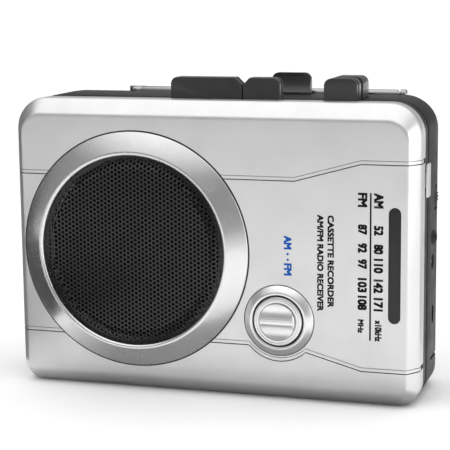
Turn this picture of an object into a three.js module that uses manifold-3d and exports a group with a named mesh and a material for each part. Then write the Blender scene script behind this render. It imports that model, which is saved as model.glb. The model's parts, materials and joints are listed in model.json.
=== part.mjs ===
// Pocket cassette player with a two-band radio.
//
// Millimetres, +Z up. X runs across the front, Y runs from the front (-Y) to the cassette door at
// the back (+Y). The origin is the middle of the footprint, on the surface that the player stands on.
//
// Inside the `player` group the front flat of the case is y = 0, so that every depth below is read
// from the front. The group is then moved by FOOTPRINT_Y to put the origin in the middle.

import * as THREE from 'three';
import { mergeVertices } from 'three/addons/utils/BufferGeometryUtils.js';
import Module from 'manifold-3d';

const wasm = await Module();
wasm.setup();

// ---- Driving dimensions ------------------------------------------------------------------------

const WIDTH = 118; // case, across the front
const HEIGHT = 83.4; // case, without the keys
const BACK_Y = 35.7; // outer face of the cassette door
const PROUD_Y = -3.3; // grip bar of the selector knob, the foremost point
const FOOTPRINT_Y = (BACK_Y + PROUD_Y) / 2;
const SIDE_PROUD = 0.75; // switch cap and wheels stand this far out of the sides

const WALL = 1.8; // moulded walls
const GAP = 0.3; // between pieces that meet
const HALF_X = WIDTH / 2;

const FLAT = { x: 56.1, low: 4.1, high: 79.1, lowRadius: 2.5, highRadius: 6 };
const SIDE_RADIUS = { low: 6, high: 9 };
const BEVEL_Y = 4.2; // depth of the bevel round the front flat
const PARTING_Y = 14.4; // seam between the shells
const SIDE_END_Y = 29.3; // the sides start to lean in here
const TOP_END_Y = 31.8; // the top starts to lean in here

const SPEAKER = { x: -21.9, z: 41.1, ring: 33.5, lip: 28.2, mouth: 27 };
const SELECTOR = { x: 20.35, z: 23.1, ring: 9.9, lip: 7.8, mouth: 7.2 };
const WINDOW = { x: 52.6, low: 24, high: 55.8, width: 3.4 };

const KEY_TOP = 89.4;
const KEY_FOOT = 79; // lowest point of a key at rest
const FLANGE_TOP = 80.9; // flange that keeps a key in the case
const KEY_ROW = { front: 8.3, back: 12.3 };
const KEYS = { play: [-13.3, 7.55], forward: [7.85, 18.5], record: [31, 40.2], eject: [10.5, 22] };
const RECORD_RIBS = [[8.3, 9.5], [10.5, 13.5], [16, 23.3]];
const EJECT_ROW = { front: 27.3, back: 30.6 };

const TUNING = { x: 52.8, z: 55.15, radius: 6.7, front: 24.9, back: 28.2 };
const VOLUME = { x: -52.75, z: 68, radius: 7, front: 10.3, back: 13.3 };
const SLIDER = { z: 61.95, height: 9.3, front: 9.4, back: 13.7 };
const REMOTE = { y: 23.3, z: 44.2, collar: 1.9, bore: 1.3 };
const EARPHONE = { y: 22.5, z: 37.4, hole: 2.1, bore: 1.8 };

const ANTENNA = { y: 33.2, z: 83.4, radius: 1.3, pivotX: -33.6, endX: 49.3 };
const RABBET = { y: 31.6, z: 81.7, left: -36.5, right: 51.5 };

const DOOR = { low: 9.9, high: 79.6, hingeY: 33.8, hingeZ: 11.8, barrel: 1.9, frontY: 31.8 };
const DOOR_ROOM = { x: 54.6, low: 15.3, high: 78.4, lowRadius: 0.5, highRadius: 6 };
const DOOR_WINDOW = { left: -32, right: 20, low: 24, high: 46 };
const HATCH = { x: 47, front: 9.2, back: 19.7, axisY: 18.95, axisZ: 0.75, thickness: 1.5 };

const HUB_Z = 34.8; // cassette reels
const CASSETTE_X = -6;
const HUB_PITCH = 42.5;
const CAPSTAN = { x: 17.6, z: 62 };
const MOTOR = { x: 41.5, z: 63, radius: 8.8 };
const GEAR_MODULE = 0.8;
const TEETH = { flywheel: 14, idler: 20, takeup: 30 };
const PINCH = { pivotX: 34, pivotZ: 72, rollerX: 17.6, rollerZ: 73.6, roller: 4 };
const DECK = { front: 17, back: 18.2 };
const BOARD = { front: 5.2, back: 6.6 };
const CELL = { y: 14.25, z: 7.35, radius: 5.2, length: 44.5 };
const FERRITE = { y: 11.3, z: 76.2 };
const CASE_SCREW = { x: 52.5, z: 5 };
const DECK_SCREWS = [[-53.5, 54], [51.5, 73.5]];

// ---- Finishes ----------------------------------------------------------------------------------

const FINISHES = {
  silver: [0xc4c4c6, 0.38, 0.55],
  satin_metal: [0xb9babd, 0.3, 0.9],
  charcoal: [0x3d3b3c, 0.6, 0],
  dark_band: [0x464646, 0.65, 0],
  black: [0x161616, 0.55, 0],
  grille: [0x0c0c0c, 0.5, 0.4],
  smoked: [0x2c2c2e, 0.15, 0],
  chrome: [0xd8dadd, 0.12, 1],
  steel: [0x9a9da1, 0.35, 1],
  brass: [0xb08d3f, 0.35, 1],
  copper: [0xa2532b, 0.45, 0.8],
  board: [0x2f6b3a, 0.6, 0],
  ferrite: [0x2a2a2c, 0.8, 0],
  paper: [0x1d1b1a, 0.9, 0],
  white: [0xd9d9d4, 0.6, 0],
  orange: [0xd8551c, 0.5, 0],
  rubber: [0x141414, 0.85, 0],
  cell: [0x8c8f96, 0.4, 0.5],
};

// ---- Solids ------------------------------------------------------------------------------------

/** A closed three.js geometry as a manifold solid, facing outwards. */
function solid(geometry) {
  const bare = geometry.clone();
  bare.deleteAttribute('normal');
  bare.deleteAttribute('uv');
  const merged = mergeVertices(bare, 1e-4);
  const points = merged.getAttribute('position');
  const corner = (i) => new THREE.Vector3().fromBufferAttribute(points, i);
  const faces = [];
  let volume = 0;
  for (let i = 0; i < merged.index.count; i += 3) {
    const [a, b, c] = [0, 1, 2].map((k) => merged.index.getX(i + k));
    if (a === b || b === c || c === a) continue;
    faces.push([a, b, c]);
    volume += corner(a).dot(corner(b).cross(corner(c)));
  }
  const triVerts = new Uint32Array(faces.flatMap(([a, b, c]) => (volume < 0 ? [a, c, b] : [a, b, c])));
  const vertProperties = new Float32Array(points.array);
  return new wasm.Manifold(new wasm.Mesh({ numProp: 3, vertProperties, triVerts }));
}

/** A manifold solid back as a three.js geometry. */
function geometryOf(body) {
  const mesh = body.getMesh();
  const geometry = new THREE.BufferGeometry();
  geometry.setAttribute('position', new THREE.BufferAttribute(new Float32Array(mesh.vertProperties), 3));
  geometry.setIndex(new THREE.BufferAttribute(new Uint32Array(mesh.triVerts), 1));
  geometry.computeVertexNormals();
  return geometry;
}

const joined = (...bodies) => bodies.reduce((sum, body) => sum.add(body));
const cut = (body, ...tools) => tools.reduce((rest, tool) => rest.subtract(tool), body);

function box(x0, x1, y0, y1, z0, z1) {
  const geometry = new THREE.BoxGeometry(x1 - x0, y1 - y0, z1 - z0);
  return solid(geometry.translate((x0 + x1) / 2, (y0 + y1) / 2, (z0 + z1) / 2));
}

/** A body of revolution about an axis through (a, b): profile points are [radius, place on axis]. */
function turned(axis, a, b, profile, segments = 26) {
  const geometry = new THREE.LatheGeometry(profile.map(([r, h]) => new THREE.Vector2(r, h)), segments);
  if (axis === 'x') geometry.rotateZ(-Math.PI / 2).translate(0, a, b);
  if (axis === 'y') geometry.translate(a, 0, b);
  if (axis === 'z') geometry.rotateX(Math.PI / 2).translate(a, b, 0);
  return solid(geometry);
}

const rod = (axis, a, b, radius, from, to, segments = 24) =>
  turned(axis, a, b, [[0, from], [radius, from], [radius, to], [0, to]], segments);

/** An outline in X and Z, pushed from y0 back to y1. */
function plateY(shape, y0, y1, curveSegments = 8) {
  const geometry = new THREE.ExtrudeGeometry(shape, { depth: y1 - y0, bevelEnabled: false, curveSegments });
  return solid(geometry.rotateX(Math.PI / 2).translate(0, y1, 0));
}

/** An outline in Y and Z, pushed from x0 across to x1. */
function plateX(shape, x0, x1, curveSegments = 8) {
  const geometry = new THREE.ExtrudeGeometry(shape, { depth: x1 - x0, bevelEnabled: false, curveSegments });
  const turn = new THREE.Matrix4().makeBasis(
    new THREE.Vector3(0, 1, 0), new THREE.Vector3(0, 0, 1), new THREE.Vector3(1, 0, 0));
  return solid(geometry.applyMatrix4(turn).translate(x0, 0, 0));
}

const polygon = (points) => new THREE.Shape(points.map(([a, b]) => new THREE.Vector2(a, b)));

/** A slot with round ends along the second axis. */
function stadium(a, low, high, width) {
  const r = width / 2;
  const shape = new THREE.Shape();
  shape.absarc(a, high - r, r, 0, Math.PI);
  shape.absarc(a, low + r, r, Math.PI, 2 * Math.PI);
  return shape;
}

/** Points of a rectangle with round corners, anticlockwise, the same number whatever its size. */
function roundedOutline(halfX, low, high, lowRadius, highRadius) {
  const steps = 5;
  const corners = [
    [halfX, low, lowRadius, -Math.PI / 2], [halfX, high, highRadius, 0],
    [-halfX, high, highRadius, Math.PI / 2], [-halfX, low, lowRadius, Math.PI],
  ];
  return corners.flatMap(([x, z, r, start]) => {
    const cx = x - Math.sign(x) * r;
    const cz = z === low ? z + r : z - r;
    return Array.from({ length: steps + 1 }, (_, i) => {
      const angle = start + (i / steps) * (Math.PI / 2);
      return new THREE.Vector2(cx + r * Math.cos(angle), cz + r * Math.sin(angle));
    });
  });
}

/** A closed skin through outlines of equal point count, each at its own depth. */
function loft(sections) {
  const count = sections[0].outline.length;
  const positions = sections.flatMap(({ y, outline }) => outline.flatMap((p) => [p.x, y, p.y]));
  const index = [];
  for (let s = 0; s + 1 < sections.length; s++) {
    for (let i = 0; i < count; i++) {
      const a = s * count + i;
      const b = s * count + ((i + 1) % count);
      index.push(a, b, a + count, b, b + count, a + count);
    }
  }
  const last = (sections.length - 1) * count;
  for (const [a, b, c] of THREE.ShapeUtils.triangulateShape(sections[0].outline, [])) index.push(a, c, b);
  for (const [a, b, c] of THREE.ShapeUtils.triangulateShape(sections.at(-1).outline, [])) {
    index.push(last + a, last + b, last + c);
  }
  const geometry = new THREE.BufferGeometry();
  geometry.setAttribute('position', new THREE.BufferAttribute(new Float32Array(positions), 3));
  geometry.setIndex(index);
  return solid(geometry);
}

/** Outline of a spur gear; one tooth points along `phase`. */
function gearOutline(x, z, teeth, phase) {
  const pitch = (GEAR_MODULE * teeth) / 2;
  const [root, tip] = [pitch - 1.1 * GEAR_MODULE, pitch + 0.7 * GEAR_MODULE];
  const step = (2 * Math.PI) / teeth;
  const flank = [[root, -0.3], [tip, -0.15], [tip, 0.15], [root, 0.3]];
  const points = [];
  for (let i = 0; i < teeth; i++) {
    for (const [radius, share] of flank) {
      const angle = phase + (i + share) * step;
      points.push([x + radius * Math.cos(angle), z + radius * Math.sin(angle)]);
    }
  }
  return polygon(points);
}

// ---- The assembly ------------------------------------------------------------------------------

const player = new THREE.Group();
player.position.y = -FOOTPRINT_Y;

function add(name, finish, body) {
  const [color, roughness, metalness] = FINISHES[finish];
  const material = new THREE.MeshStandardMaterial({ color, roughness, metalness });
  const mesh = new THREE.Mesh(geometryOf(body), material);
  mesh.name = name;
  player.add(mesh);
}

// ---- Case --------------------------------------------------------------------------------------

const sideOutline = (halfX, low, high) =>
  roundedOutline(halfX, low, high, SIDE_RADIUS.low, SIDE_RADIUS.high);
const wallOutline = (halfX, low, high) =>
  roundedOutline(halfX, low, high, SIDE_RADIUS.low - WALL, SIDE_RADIUS.high - WALL);

/** Shallow channel that decorates the front flat, along a bent line. */
function channel(points) {
  const [width, depth] = [0.9, 0.45];
  const upper = points.map(([x, z]) => [x, z + width / 2]);
  const lower = points.map(([x, z]) => [x, z - width / 2]).reverse();
  return plateY(polygon([...lower, ...upper].reverse()), -1, depth);
}

function keySlot(x0, x1, y0, y1) {
  return box(x0 - GAP, x1 + GAP, y0 - GAP, y1 + GAP, FLANGE_TOP, HEIGHT + 1);
}

const caseScrewSides = [-1, 1];
const between = (side, a, b) => (side < 0 ? [-b, -a] : [a, b]);

function frontShell() {
  const outer = loft([
    { y: 0, outline: roundedOutline(FLAT.x, FLAT.low, FLAT.high, FLAT.lowRadius, FLAT.highRadius) },
    { y: BEVEL_Y, outline: sideOutline(HALF_X, 0, HEIGHT) },
    { y: PARTING_Y - GAP / 2, outline: sideOutline(HALF_X, 0, HEIGHT) },
  ]);
  const inner = loft([
    { y: WALL, outline: roundedOutline(54.8, 5.9, 77.3, 2, 5) },
    { y: 6, outline: wallOutline(HALF_X - WALL, WALL, HEIGHT - WALL) },
    { y: PARTING_Y + 1, outline: wallOutline(HALF_X - WALL, WALL, HEIGHT - WALL) },
  ]);
  const screwBlocks = caseScrewSides.map((side) => box(...between(side, 49.5, 57.6), 6, 14.2, 1.5, 9));
  const screwHoles = caseScrewSides.map((side) =>
    rod('y', side * CASE_SCREW.x, CASE_SCREW.z, 1.4, 8.5, 15));
  const deckPosts = DECK_SCREWS.map(([x, z]) => rod('y', x, z, 2.6, 1.5, DECK.front - GAP));
  const deckHoles = DECK_SCREWS.map(([x, z]) => rod('y', x, z, 1.3, 8.7, DECK.front + 1));
  return cut(
    joined(cut(outer, inner), ...screwBlocks, ...deckPosts), ...screwHoles, ...deckHoles,
    rod('y', SPEAKER.x, SPEAKER.z, SPEAKER.ring + GAP, -1, 0.5, 44),
    rod('y', SPEAKER.x, SPEAKER.z, SPEAKER.lip + GAP, -1, 3, 44),
    rod('y', SELECTOR.x, SELECTOR.z, SELECTOR.ring + GAP, -1, 0.5, 28),
    rod('y', SELECTOR.x, SELECTOR.z, SELECTOR.lip - 0.2, -1, 3, 28),
    plateY(stadium(WINDOW.x, WINDOW.low, WINDOW.high, WINDOW.width), -1, 3),
    channel([[-60, 62.4], [-44.5, 62.4]]),
    channel([[3.5, 62.6], [24.8, 62.6], [43.3, 67.7], [60, 67.7]]),
    channel([[-60, 16.2], [-43.5, 16.2]]),
    channel([[0, 16.1], [11, 16.1]]),
    channel([[28, 15], [43.6, 10.65], [60, 10.65]]),
    keySlot(KEYS.play[0], KEYS.forward[1], KEY_ROW.front, KEY_ROW.back),
    keySlot(...KEYS.record, RECORD_RIBS[0][0], PARTING_Y + 1),
    box(-HATCH.x - GAP, HATCH.x + GAP, HATCH.front - GAP, PARTING_Y + 1, -1, WALL + 0.2),
    box(HALF_X - 4, HALF_X + 1, 10.1, 13, 58.3, 65.6),
    rod('y', VOLUME.x, VOLUME.z, VOLUME.radius + 0.35, VOLUME.front - GAP, VOLUME.back + GAP, 28),
  );
}

function rearOuter() {
  return loft([
    { y: PARTING_Y + GAP / 2, outline: sideOutline(HALF_X, 0, HEIGHT) },
    { y: SIDE_END_Y, outline: sideOutline(HALF_X, 0, HEIGHT) },
    { y: TOP_END_Y, outline: sideOutline(HALF_X - 1, 0, HEIGHT) },
    { y: BACK_Y, outline: sideOutline(HALF_X - 3.1, 2.5, HEIGHT - 2.5) },
  ]);
}

function rearShell() {
  const headerLow = DOOR.high + GAP;
  const inner = loft([
    { y: PARTING_Y - 1, outline: wallOutline(HALF_X - WALL, WALL, HEIGHT - WALL) },
    { y: 31, outline: wallOutline(HALF_X - WALL, WALL, HEIGHT - WALL) },
  ]);
  const backRoom = box(-56.2, 56.2, 30.5, BACK_Y - WALL, WALL, headerLow);
  const screwBlocks = caseScrewSides.map((side) => box(...between(side, 49, 57.4), 20.2, 34.5, 1.5, 9.3));
  const hingeLugs = caseScrewSides.map((side) => box(...between(side, 56, 57.5), 31.9, 35.3, 5, 13.6));
  const body = joined(cut(
    rearOuter(), inner, backRoom,
    box(-70, 70, DOOR.frontY - GAP, 40, DOOR.low - GAP, headerLow),
  ), ...screwBlocks, ...hingeLugs).intersect(rearOuter());
  const screwHoles = caseScrewSides.flatMap((side) => [
    rod('y', side * CASE_SCREW.x, CASE_SCREW.z, 1.4, 19, 37),
    rod('y', side * CASE_SCREW.x, CASE_SCREW.z, 2.6, 34.2, 37),
  ]);
  const hatchGrooves = caseScrewSides.map((side) =>
    box(...between(side, 46.5, 48.7), 18.2, 19.8, -1, 1.55));
  const sideLines = caseScrewSides.map((side) =>
    box(...between(side, HALF_X - 0.8, HALF_X + 1), 20.6, 34, 9.1, 10.1));
  return cut(
    body, ...screwHoles, ...hatchGrooves, ...sideLines,
    rod('x', DOOR.hingeY, DOOR.hingeZ, 1, -57.9, 57.9),
    box(RABBET.left, RABBET.right, RABBET.y, 40, RABBET.z, HEIGHT + 1),
    box(ANTENNA.pivotX - 2.6, ANTENNA.pivotX + 2.6, 34.5, 40, headerLow - 1, HEIGHT),
    keySlot(...KEYS.record, PARTING_Y - 1, RECORD_RIBS[2][1]),
    keySlot(...KEYS.eject, EJECT_ROW.front, EJECT_ROW.back),
    box(-HATCH.x - GAP, HATCH.x + GAP, PARTING_Y - 1, HATCH.back + GAP, -1, WALL + 0.2),
    rod('y', TUNING.x, TUNING.z, TUNING.radius + 0.4, TUNING.front - GAP, TUNING.back + GAP, 28),
    rod('x', REMOTE.y, REMOTE.z, REMOTE.collar + GAP, HALF_X - 4, HALF_X + 1),
    rod('x', EARPHONE.y, EARPHONE.z, EARPHONE.hole, HALF_X - 4, HALF_X + 1),
    plateX(stadium(23.4, 19.4, 24.8, 2.6), HALF_X - 4, HALF_X + 1),
  );
}

add('front_shell', 'silver', frontShell());
add('rear_shell', 'dark_band', rearShell());

// ---- Cassette door and its hinge ---------------------------------------------------------------

function cassetteDoor() {
  const { hingeY, hingeZ, barrel, frontY, high } = DOOR;
  const room = roundedOutline(
    DOOR_ROOM.x, DOOR_ROOM.low, DOOR_ROOM.high, DOOR_ROOM.lowRadius, DOOR_ROOM.highRadius);
  const pan = cut(
    rearOuter().intersect(box(-70, 70, frontY, 40, 14, high)),
    plateY(new THREE.Shape(room), 30, BACK_Y - WALL),
    box(-70, 70, 30, BACK_Y - WALL, 13, 14.5),
  );
  const foot = box(-55.6, 55.6, BACK_Y - WALL, BACK_Y, hingeZ, 14.2);
  const barrelRod = rod('x', hingeY, hingeZ, barrel, -55.6, 55.6);
  const catchArm = joined(box(12, 20, 31.9, BACK_Y - 1, 77.6, 79), box(12, 20, 31.9, 32.6, 76.4, 79));
  const { left, right, low, high: top } = DOOR_WINDOW;
  return cut(joined(pan, foot, barrelRod, catchArm), rod('x', hingeY, hingeZ, 1, -60, 60),
    box(left, right, 30, 40, low, top));
}

function doorWindow() {
  const { left, right, low, high } = DOOR_WINDOW;
  return joined(
    box(left + GAP, right - GAP, 33.2, BACK_Y - 0.2, low + GAP, high - GAP),
    box(left - 2, right + 2, 33, 33.6, low - 2, high + 2),
  );
}

add('cassette_door', 'charcoal', cassetteDoor());
add('door_window', 'smoked', doorWindow());
add('door_hinge_pin', 'steel', rod('x', DOOR.hingeY, DOOR.hingeZ, 0.7, -57.3, 57.3, 16));
add('door_latch', 'black', joined(
  box(8, 24, 29, 30.6, 71, 75.3), box(14, 18, 30.4, 33.4, 74.2, 75.3), box(14, 18, 32.8, 33.4, 75, 76.1)));

// ---- Battery hatch and cells -------------------------------------------------------------------

function hatch() {
  const { x, front, axisY, axisZ, thickness } = HATCH;
  const shape = new THREE.Shape();
  shape.moveTo(front, thickness);
  shape.lineTo(front, 0);
  shape.lineTo(axisY, 0);
  shape.absarc(axisY, axisZ, thickness / 2, -Math.PI / 2, Math.PI / 2);
  return joined(plateX(shape, -x, x), rod('x', axisY, axisZ, 0.45, -x - 1.3, x + 1.3, 12));
}

function cell(from) {
  const { y, z, radius, length } = CELL;
  const end = from + length;
  return turned('x', y, z, [
    [0, from], [radius, from], [radius, end - 1], [1.9, end - 1], [1.9, end], [0, end]]);
}

add('battery_door', 'dark_band', hatch());
add('battery_cell_1', 'cell', cell(-45.6));
add('battery_cell_2', 'cell', cell(-0.8));
add('battery_spring', 'steel', turned('x', CELL.y, CELL.z, [
  [0, -48.4], [4, -48.4], [4, -47.8], [2, -45.9], [0, -45.9]], 20));
add('battery_contact', 'steel', box(44.2, 45, CELL.y - 4, CELL.y + 4, CELL.z - 4, CELL.z + 4));

// ---- Fasteners ---------------------------------------------------------------------------------

const screw = (x, z, tip, seat) => turned('y', x, z,
  [[0, tip], [0.6, tip], [1.1, tip + 1.5], [1.1, seat], [2.2, seat], [1.9, seat + 0.9], [0, seat + 0.9]], 16);

caseScrewSides.forEach((side, i) => {
  add(`case_screw_${i + 1}`, 'steel', screw(side * CASE_SCREW.x, CASE_SCREW.z, 9, 34.5));
});
DECK_SCREWS.forEach(([x, z], i) => {
  add(`deck_screw_${i + 1}`, 'steel', screw(x, z, 9, DECK.back + GAP));
});

// ---- Loudspeaker -------------------------------------------------------------------------------

const aboutSpeaker = (profile, segments) => turned('y', SPEAKER.x, SPEAKER.z, profile, segments);

add('speaker_bezel', 'satin_metal', aboutSpeaker([
  [27, 0.8], [27, -3], [27.5, -3.2], [28.2, -3.2], [33.5, -0.3], [33.5, 0.2], [28.2, 0.2],
  [28.2, 2.5], [25.6, 2.5], [25.6, 0.8], [27, 0.8]], 44));
add('speaker_grille', 'grille', aboutSpeaker([
  [0, -2.9], [25.6, -2.7], [26.4, -2.3], [26.7, -1.6], [26.7, 0.5], [26.1, 0.5], [26.1, -1.4],
  [25.3, -2.1], [0, -2.3]], 44));
add('speaker_basket', 'steel', aboutSpeaker([
  [24.6, 2.8], [29, 2.8], [29, 4], [25.5, 4.2], [12, 9.4], [12, 10.2], [3, 10.2], [3, 9.4],
  [11.2, 9.2], [24.6, 3.6], [24.6, 2.8]], 28));
add('speaker_cone', 'paper', aboutSpeaker([
  [0, 6.6], [5, 7.6], [24.2, 2.9], [24.2, 3.4], [5, 8.3], [0, 7.3]], 28));
add('speaker_magnet', 'ferrite', aboutSpeaker([[0, 10.5], [11, 10.5], [11, 15.5], [0, 15.5]], 32));

// ---- Radio: board, band selector, tuning and volume --------------------------------------------

function board() {
  const outline = polygon([
    [9, 14.5], [56.3, 14.5], [56.3, 76], [53, 80], [-50, 80], [-56, 76], [-56, 63], [-47, 63],
    [-47, 70.8], [9, 70.8]]);
  outline.holes.push(new THREE.Path().absarc(DECK_SCREWS[1][0], DECK_SCREWS[1][1], 3.2, 0, 2 * Math.PI));
  return plateY(outline, BOARD.front, BOARD.back, 6);
}

function knob() {
  const { x, z } = SELECTOR;
  const body = turned('y', x, z, [
    [0, -2.9], [4.7, -2.9], [5.05, -2.6], [5.05, -2], [6.6, -1.9], [6.8, -1.6], [6.8, -0.2],
    [1.8, -0.2], [1.8, 4.6], [0, 4.6]], 28);
  return joined(body, box(x - 4.6, x + 4.6, PROUD_Y, -2.5, z - 0.8, z + 0.8));
}

add('circuit_board', 'board', board());
add('selector_bezel', 'satin_metal', turned('y', SELECTOR.x, SELECTOR.z, [
  [SELECTOR.mouth, 0.2], [SELECTOR.mouth, -1.4], [SELECTOR.lip, -1.5], [SELECTOR.ring, -0.2],
  [SELECTOR.ring, 0.2], [SELECTOR.mouth, 0.2]], 28));
add('band_knob', 'satin_metal', knob());
add('band_switch', 'black', cut(
  box(13.4, 27.4, 2.2, 4.9, 16, 30.2), rod('y', SELECTOR.x, SELECTOR.z, 2.2, 1, 6)));

add('dial_window', 'smoked', joined(
  plateY(stadium(WINDOW.x, WINDOW.low + 0.15, WINDOW.high - 0.15, WINDOW.width - 0.3), 0.3, 2.3),
  box(49.9, 54.6, WALL + GAP, 2.8, WINDOW.low - 1.4, WINDOW.high + 1.4)));
add('dial_plate', 'white', box(47.8, 55.8, 4.2, 4.9, 21, 59));
add('dial_pointer', 'orange', box(48.5, 55.6, 3.1, 3.9, 39.4, 40.4));

add('tuning_wheel', 'charcoal', turned('y', TUNING.x, TUNING.z, [
  [0, 20.9], [1.5, 20.9], [1.5, TUNING.front], [TUNING.radius - 0.3, TUNING.front],
  [TUNING.radius, TUNING.front + 0.3], [TUNING.radius, TUNING.back - 0.3],
  [TUNING.radius - 0.3, TUNING.back], [0, TUNING.back]], 28));
add('tuning_capacitor', 'white', cut(
  box(46.4, 57, 17, 22.6, 49.2, 61.1), rod('y', TUNING.x, TUNING.z, 1.8, 20.6, 24)));

add('volume_wheel', 'charcoal', turned('y', VOLUME.x, VOLUME.z, [
  [0, 8.2], [1.5, 8.2], [1.5, VOLUME.front], [VOLUME.radius - 0.3, VOLUME.front],
  [VOLUME.radius, VOLUME.front + 0.3], [VOLUME.radius, VOLUME.back - 0.3],
  [VOLUME.radius - 0.3, VOLUME.back], [0, VOLUME.back]], 28));
add('volume_pot', 'black', cut(
  box(-56, -47.4, 6.9, 9.7, 63.5, 72.5), rod('y', VOLUME.x, VOLUME.z, 1.8, 7.9, 11)));

// ---- Function switch ---------------------------------------------------------------------------

function slider() {
  const { z, height, front, back } = SLIDER;
  const [low, high] = [z - height / 2, z + height / 2];
  const chamfer = 1.1;
  const cap = polygon([
    [front, low + chamfer], [front + chamfer, low], [back - chamfer, low], [back, low + chamfer],
    [back, high - chamfer], [back - chamfer, high], [front + chamfer, high], [front, high - chamfer]]);
  return joined(
    plateX(cap, HALF_X + 0.2, HALF_X + SIDE_PROUD), box(55, HALF_X + 0.3, 10.5, 12.6, z - 1.85, z + 1.85));
}

add('function_slider', 'satin_metal', slider());
add('function_switch', 'black', box(50.8, 54.6, 8.8, 13.8, 57.5, 66.5));

// ---- Ferrite aerial, sockets and microphone ----------------------------------------------------

add('ferrite_rod', 'ferrite', rod('x', FERRITE.y, FERRITE.z, 3, -44, -15, 20));
add('ferrite_coil', 'copper', turned('x', FERRITE.y, FERRITE.z, [
  [3.3, -36], [4.2, -36], [4.2, -24], [3.3, -24], [3.3, -36]], 24));

add('remote_jack', 'black', cut(
  joined(
    box(46.6, 56.8, 20.3, 26.3, 41.2, 47.2),
    rod('x', REMOTE.y, REMOTE.z, REMOTE.collar, 56, 59.7, 24)),
  rod('x', REMOTE.y, REMOTE.z, REMOTE.bore, 50, 61, 20)));
add('earphone_jack', 'black', cut(
  box(46.6, 56.8, 19.5, 25.5, 34, 40.8), rod('x', EARPHONE.y, EARPHONE.z, EARPHONE.bore, 49, 61, 20)));
add('microphone', 'steel', rod('x', 23.4, 22.1, 2.8, 53.4, 56.8, 20));

// ---- Telescopic aerial -------------------------------------------------------------------------

function aerialTube() {
  const { y, z, radius, pivotX } = ANTENNA;
  const end = 46.8;
  const roundEnd = [0, 1, 2, 3].map((i) => {
    const angle = (i / 4) * (Math.PI / 2);
    return [radius * Math.sin(angle), pivotX - radius * Math.cos(angle)];
  });
  const tube = turned('x', y, z, [
    ...roundEnd, [radius, pivotX], [radius, end], [1, end], [1, -27], [0, -27]], 20);
  return cut(tube, rod('y', pivotX, z, 0.8, 30, 37, 12));
}

const aboutAerial = (profile, segments) => turned('x', ANTENNA.y, ANTENNA.z, profile, segments);

add('antenna_tube', 'chrome', aerialTube());
add('antenna_middle', 'chrome', aboutAerial(
  [[0, -24], [0.72, -24], [0.72, 47], [0.5, 47], [0.5, -22.5], [0, -22.5]], 14));
add('antenna_tip', 'chrome', aboutAerial(
  [[0, -21], [0.28, -21], [0.28, 47.5], [1.1, 47.5], [1.4, 47.8], [1.4, 48.9],
    [1.1, ANTENNA.endX], [0, ANTENNA.endX]], 20));
add('antenna_bracket', 'steel', cut(
  box(ANTENNA.pivotX - 2.3, ANTENNA.pivotX + 2.3, 34.8, 35.5, 80.1, 84.6),
  rod('y', ANTENNA.pivotX, ANTENNA.z, 0.8, 30, 37, 12)));
add('antenna_pin', 'steel', rod('y', ANTENNA.pivotX, ANTENNA.z, 0.5, 32.2, BACK_Y, 12));

// ---- Tape transport ----------------------------------------------------------------------------

const takeup = { x: CASSETTE_X + HUB_PITCH / 2, z: HUB_Z };
const supply = { x: CASSETTE_X - HUB_PITCH / 2, z: HUB_Z };

/** Centre of the idler, which meshes with both the flywheel gear and the take-up gear. */
function idlerCentre() {
  const near = (GEAR_MODULE * (TEETH.flywheel + TEETH.idler)) / 2;
  const far = (GEAR_MODULE * (TEETH.idler + TEETH.takeup)) / 2;
  const [dx, dz] = [takeup.x - CAPSTAN.x, takeup.z - CAPSTAN.z];
  const span = Math.hypot(dx, dz);
  const along = (near ** 2 - far ** 2 + span ** 2) / (2 * span);
  const aside = Math.sqrt(near ** 2 - along ** 2);
  const [ux, uz] = [dx / span, dz / span];
  return { x: CAPSTAN.x + ux * along - uz * aside, z: CAPSTAN.z + uz * along + ux * aside };
}

const idler = idlerCentre();
const bearing = (from, to) => Math.atan2(to.z - from.z, to.x - from.x);
const flywheelPhase = bearing(CAPSTAN, idler);
const idlerPhase = flywheelPhase + Math.PI + Math.PI / TEETH.idler;
const idlerStep = (2 * Math.PI) / TEETH.idler;
const toTakeup = bearing(idler, takeup);
const idlerLead = (((toTakeup - idlerPhase) / idlerStep) % 1) * ((2 * Math.PI) / TEETH.takeup);
const takeupPhase = toTakeup + Math.PI + Math.PI / TEETH.takeup + idlerLead;

function chassis() {
  const outline = polygon([
    [-56.3, 14], [45.2, 14], [45.2, 69.5], [55.5, 69.5],
    [55.5, 77], [45.2, 77], [45.2, 75], [-56.3, 75]]);
  const holes = [
    [CAPSTAN.x, CAPSTAN.z, 1.6], [takeup.x, takeup.z, 3.4], [supply.x, supply.z, 3.4],
    ...DECK_SCREWS.map(([x, z]) => [x, z, 1.4])];
  for (const [x, z, r] of holes) outline.holes.push(new THREE.Path().absarc(x, z, r, 0, 2 * Math.PI));
  return joined(
    plateY(outline, DECK.front, DECK.back, 6),
    rod('y', idler.x, idler.z, 1.2, 13.9, DECK.front + 0.5, 16),
    rod('y', PINCH.pivotX, PINCH.pivotZ, 1.2, DECK.back - 0.5, 22, 16),
  );
}

/** A belt of the given half-width round two pulleys, as the outline outside their radii. */
function beltOutline(r1, r2) {
  const angle = bearing(CAPSTAN, MOTOR);
  const lean = Math.acos((r1 - r2) / Math.hypot(MOTOR.x - CAPSTAN.x, MOTOR.z - CAPSTAN.z));
  const path = new THREE.Shape();
  path.absarc(CAPSTAN.x, CAPSTAN.z, r1, angle + lean, angle - lean + 2 * Math.PI);
  path.absarc(MOTOR.x, MOTOR.z, r2, angle - lean, angle + lean);
  return path;
}

const PULLEY = { flywheel: 11, motor: 3 };

function belt() {
  const outline = beltOutline(PULLEY.flywheel + 1, PULLEY.motor + 1);
  outline.holes.push(beltOutline(PULLEY.flywheel + GAP, PULLEY.motor + GAP));
  return plateY(outline, 8.4, 9.8, 14);
}

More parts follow.
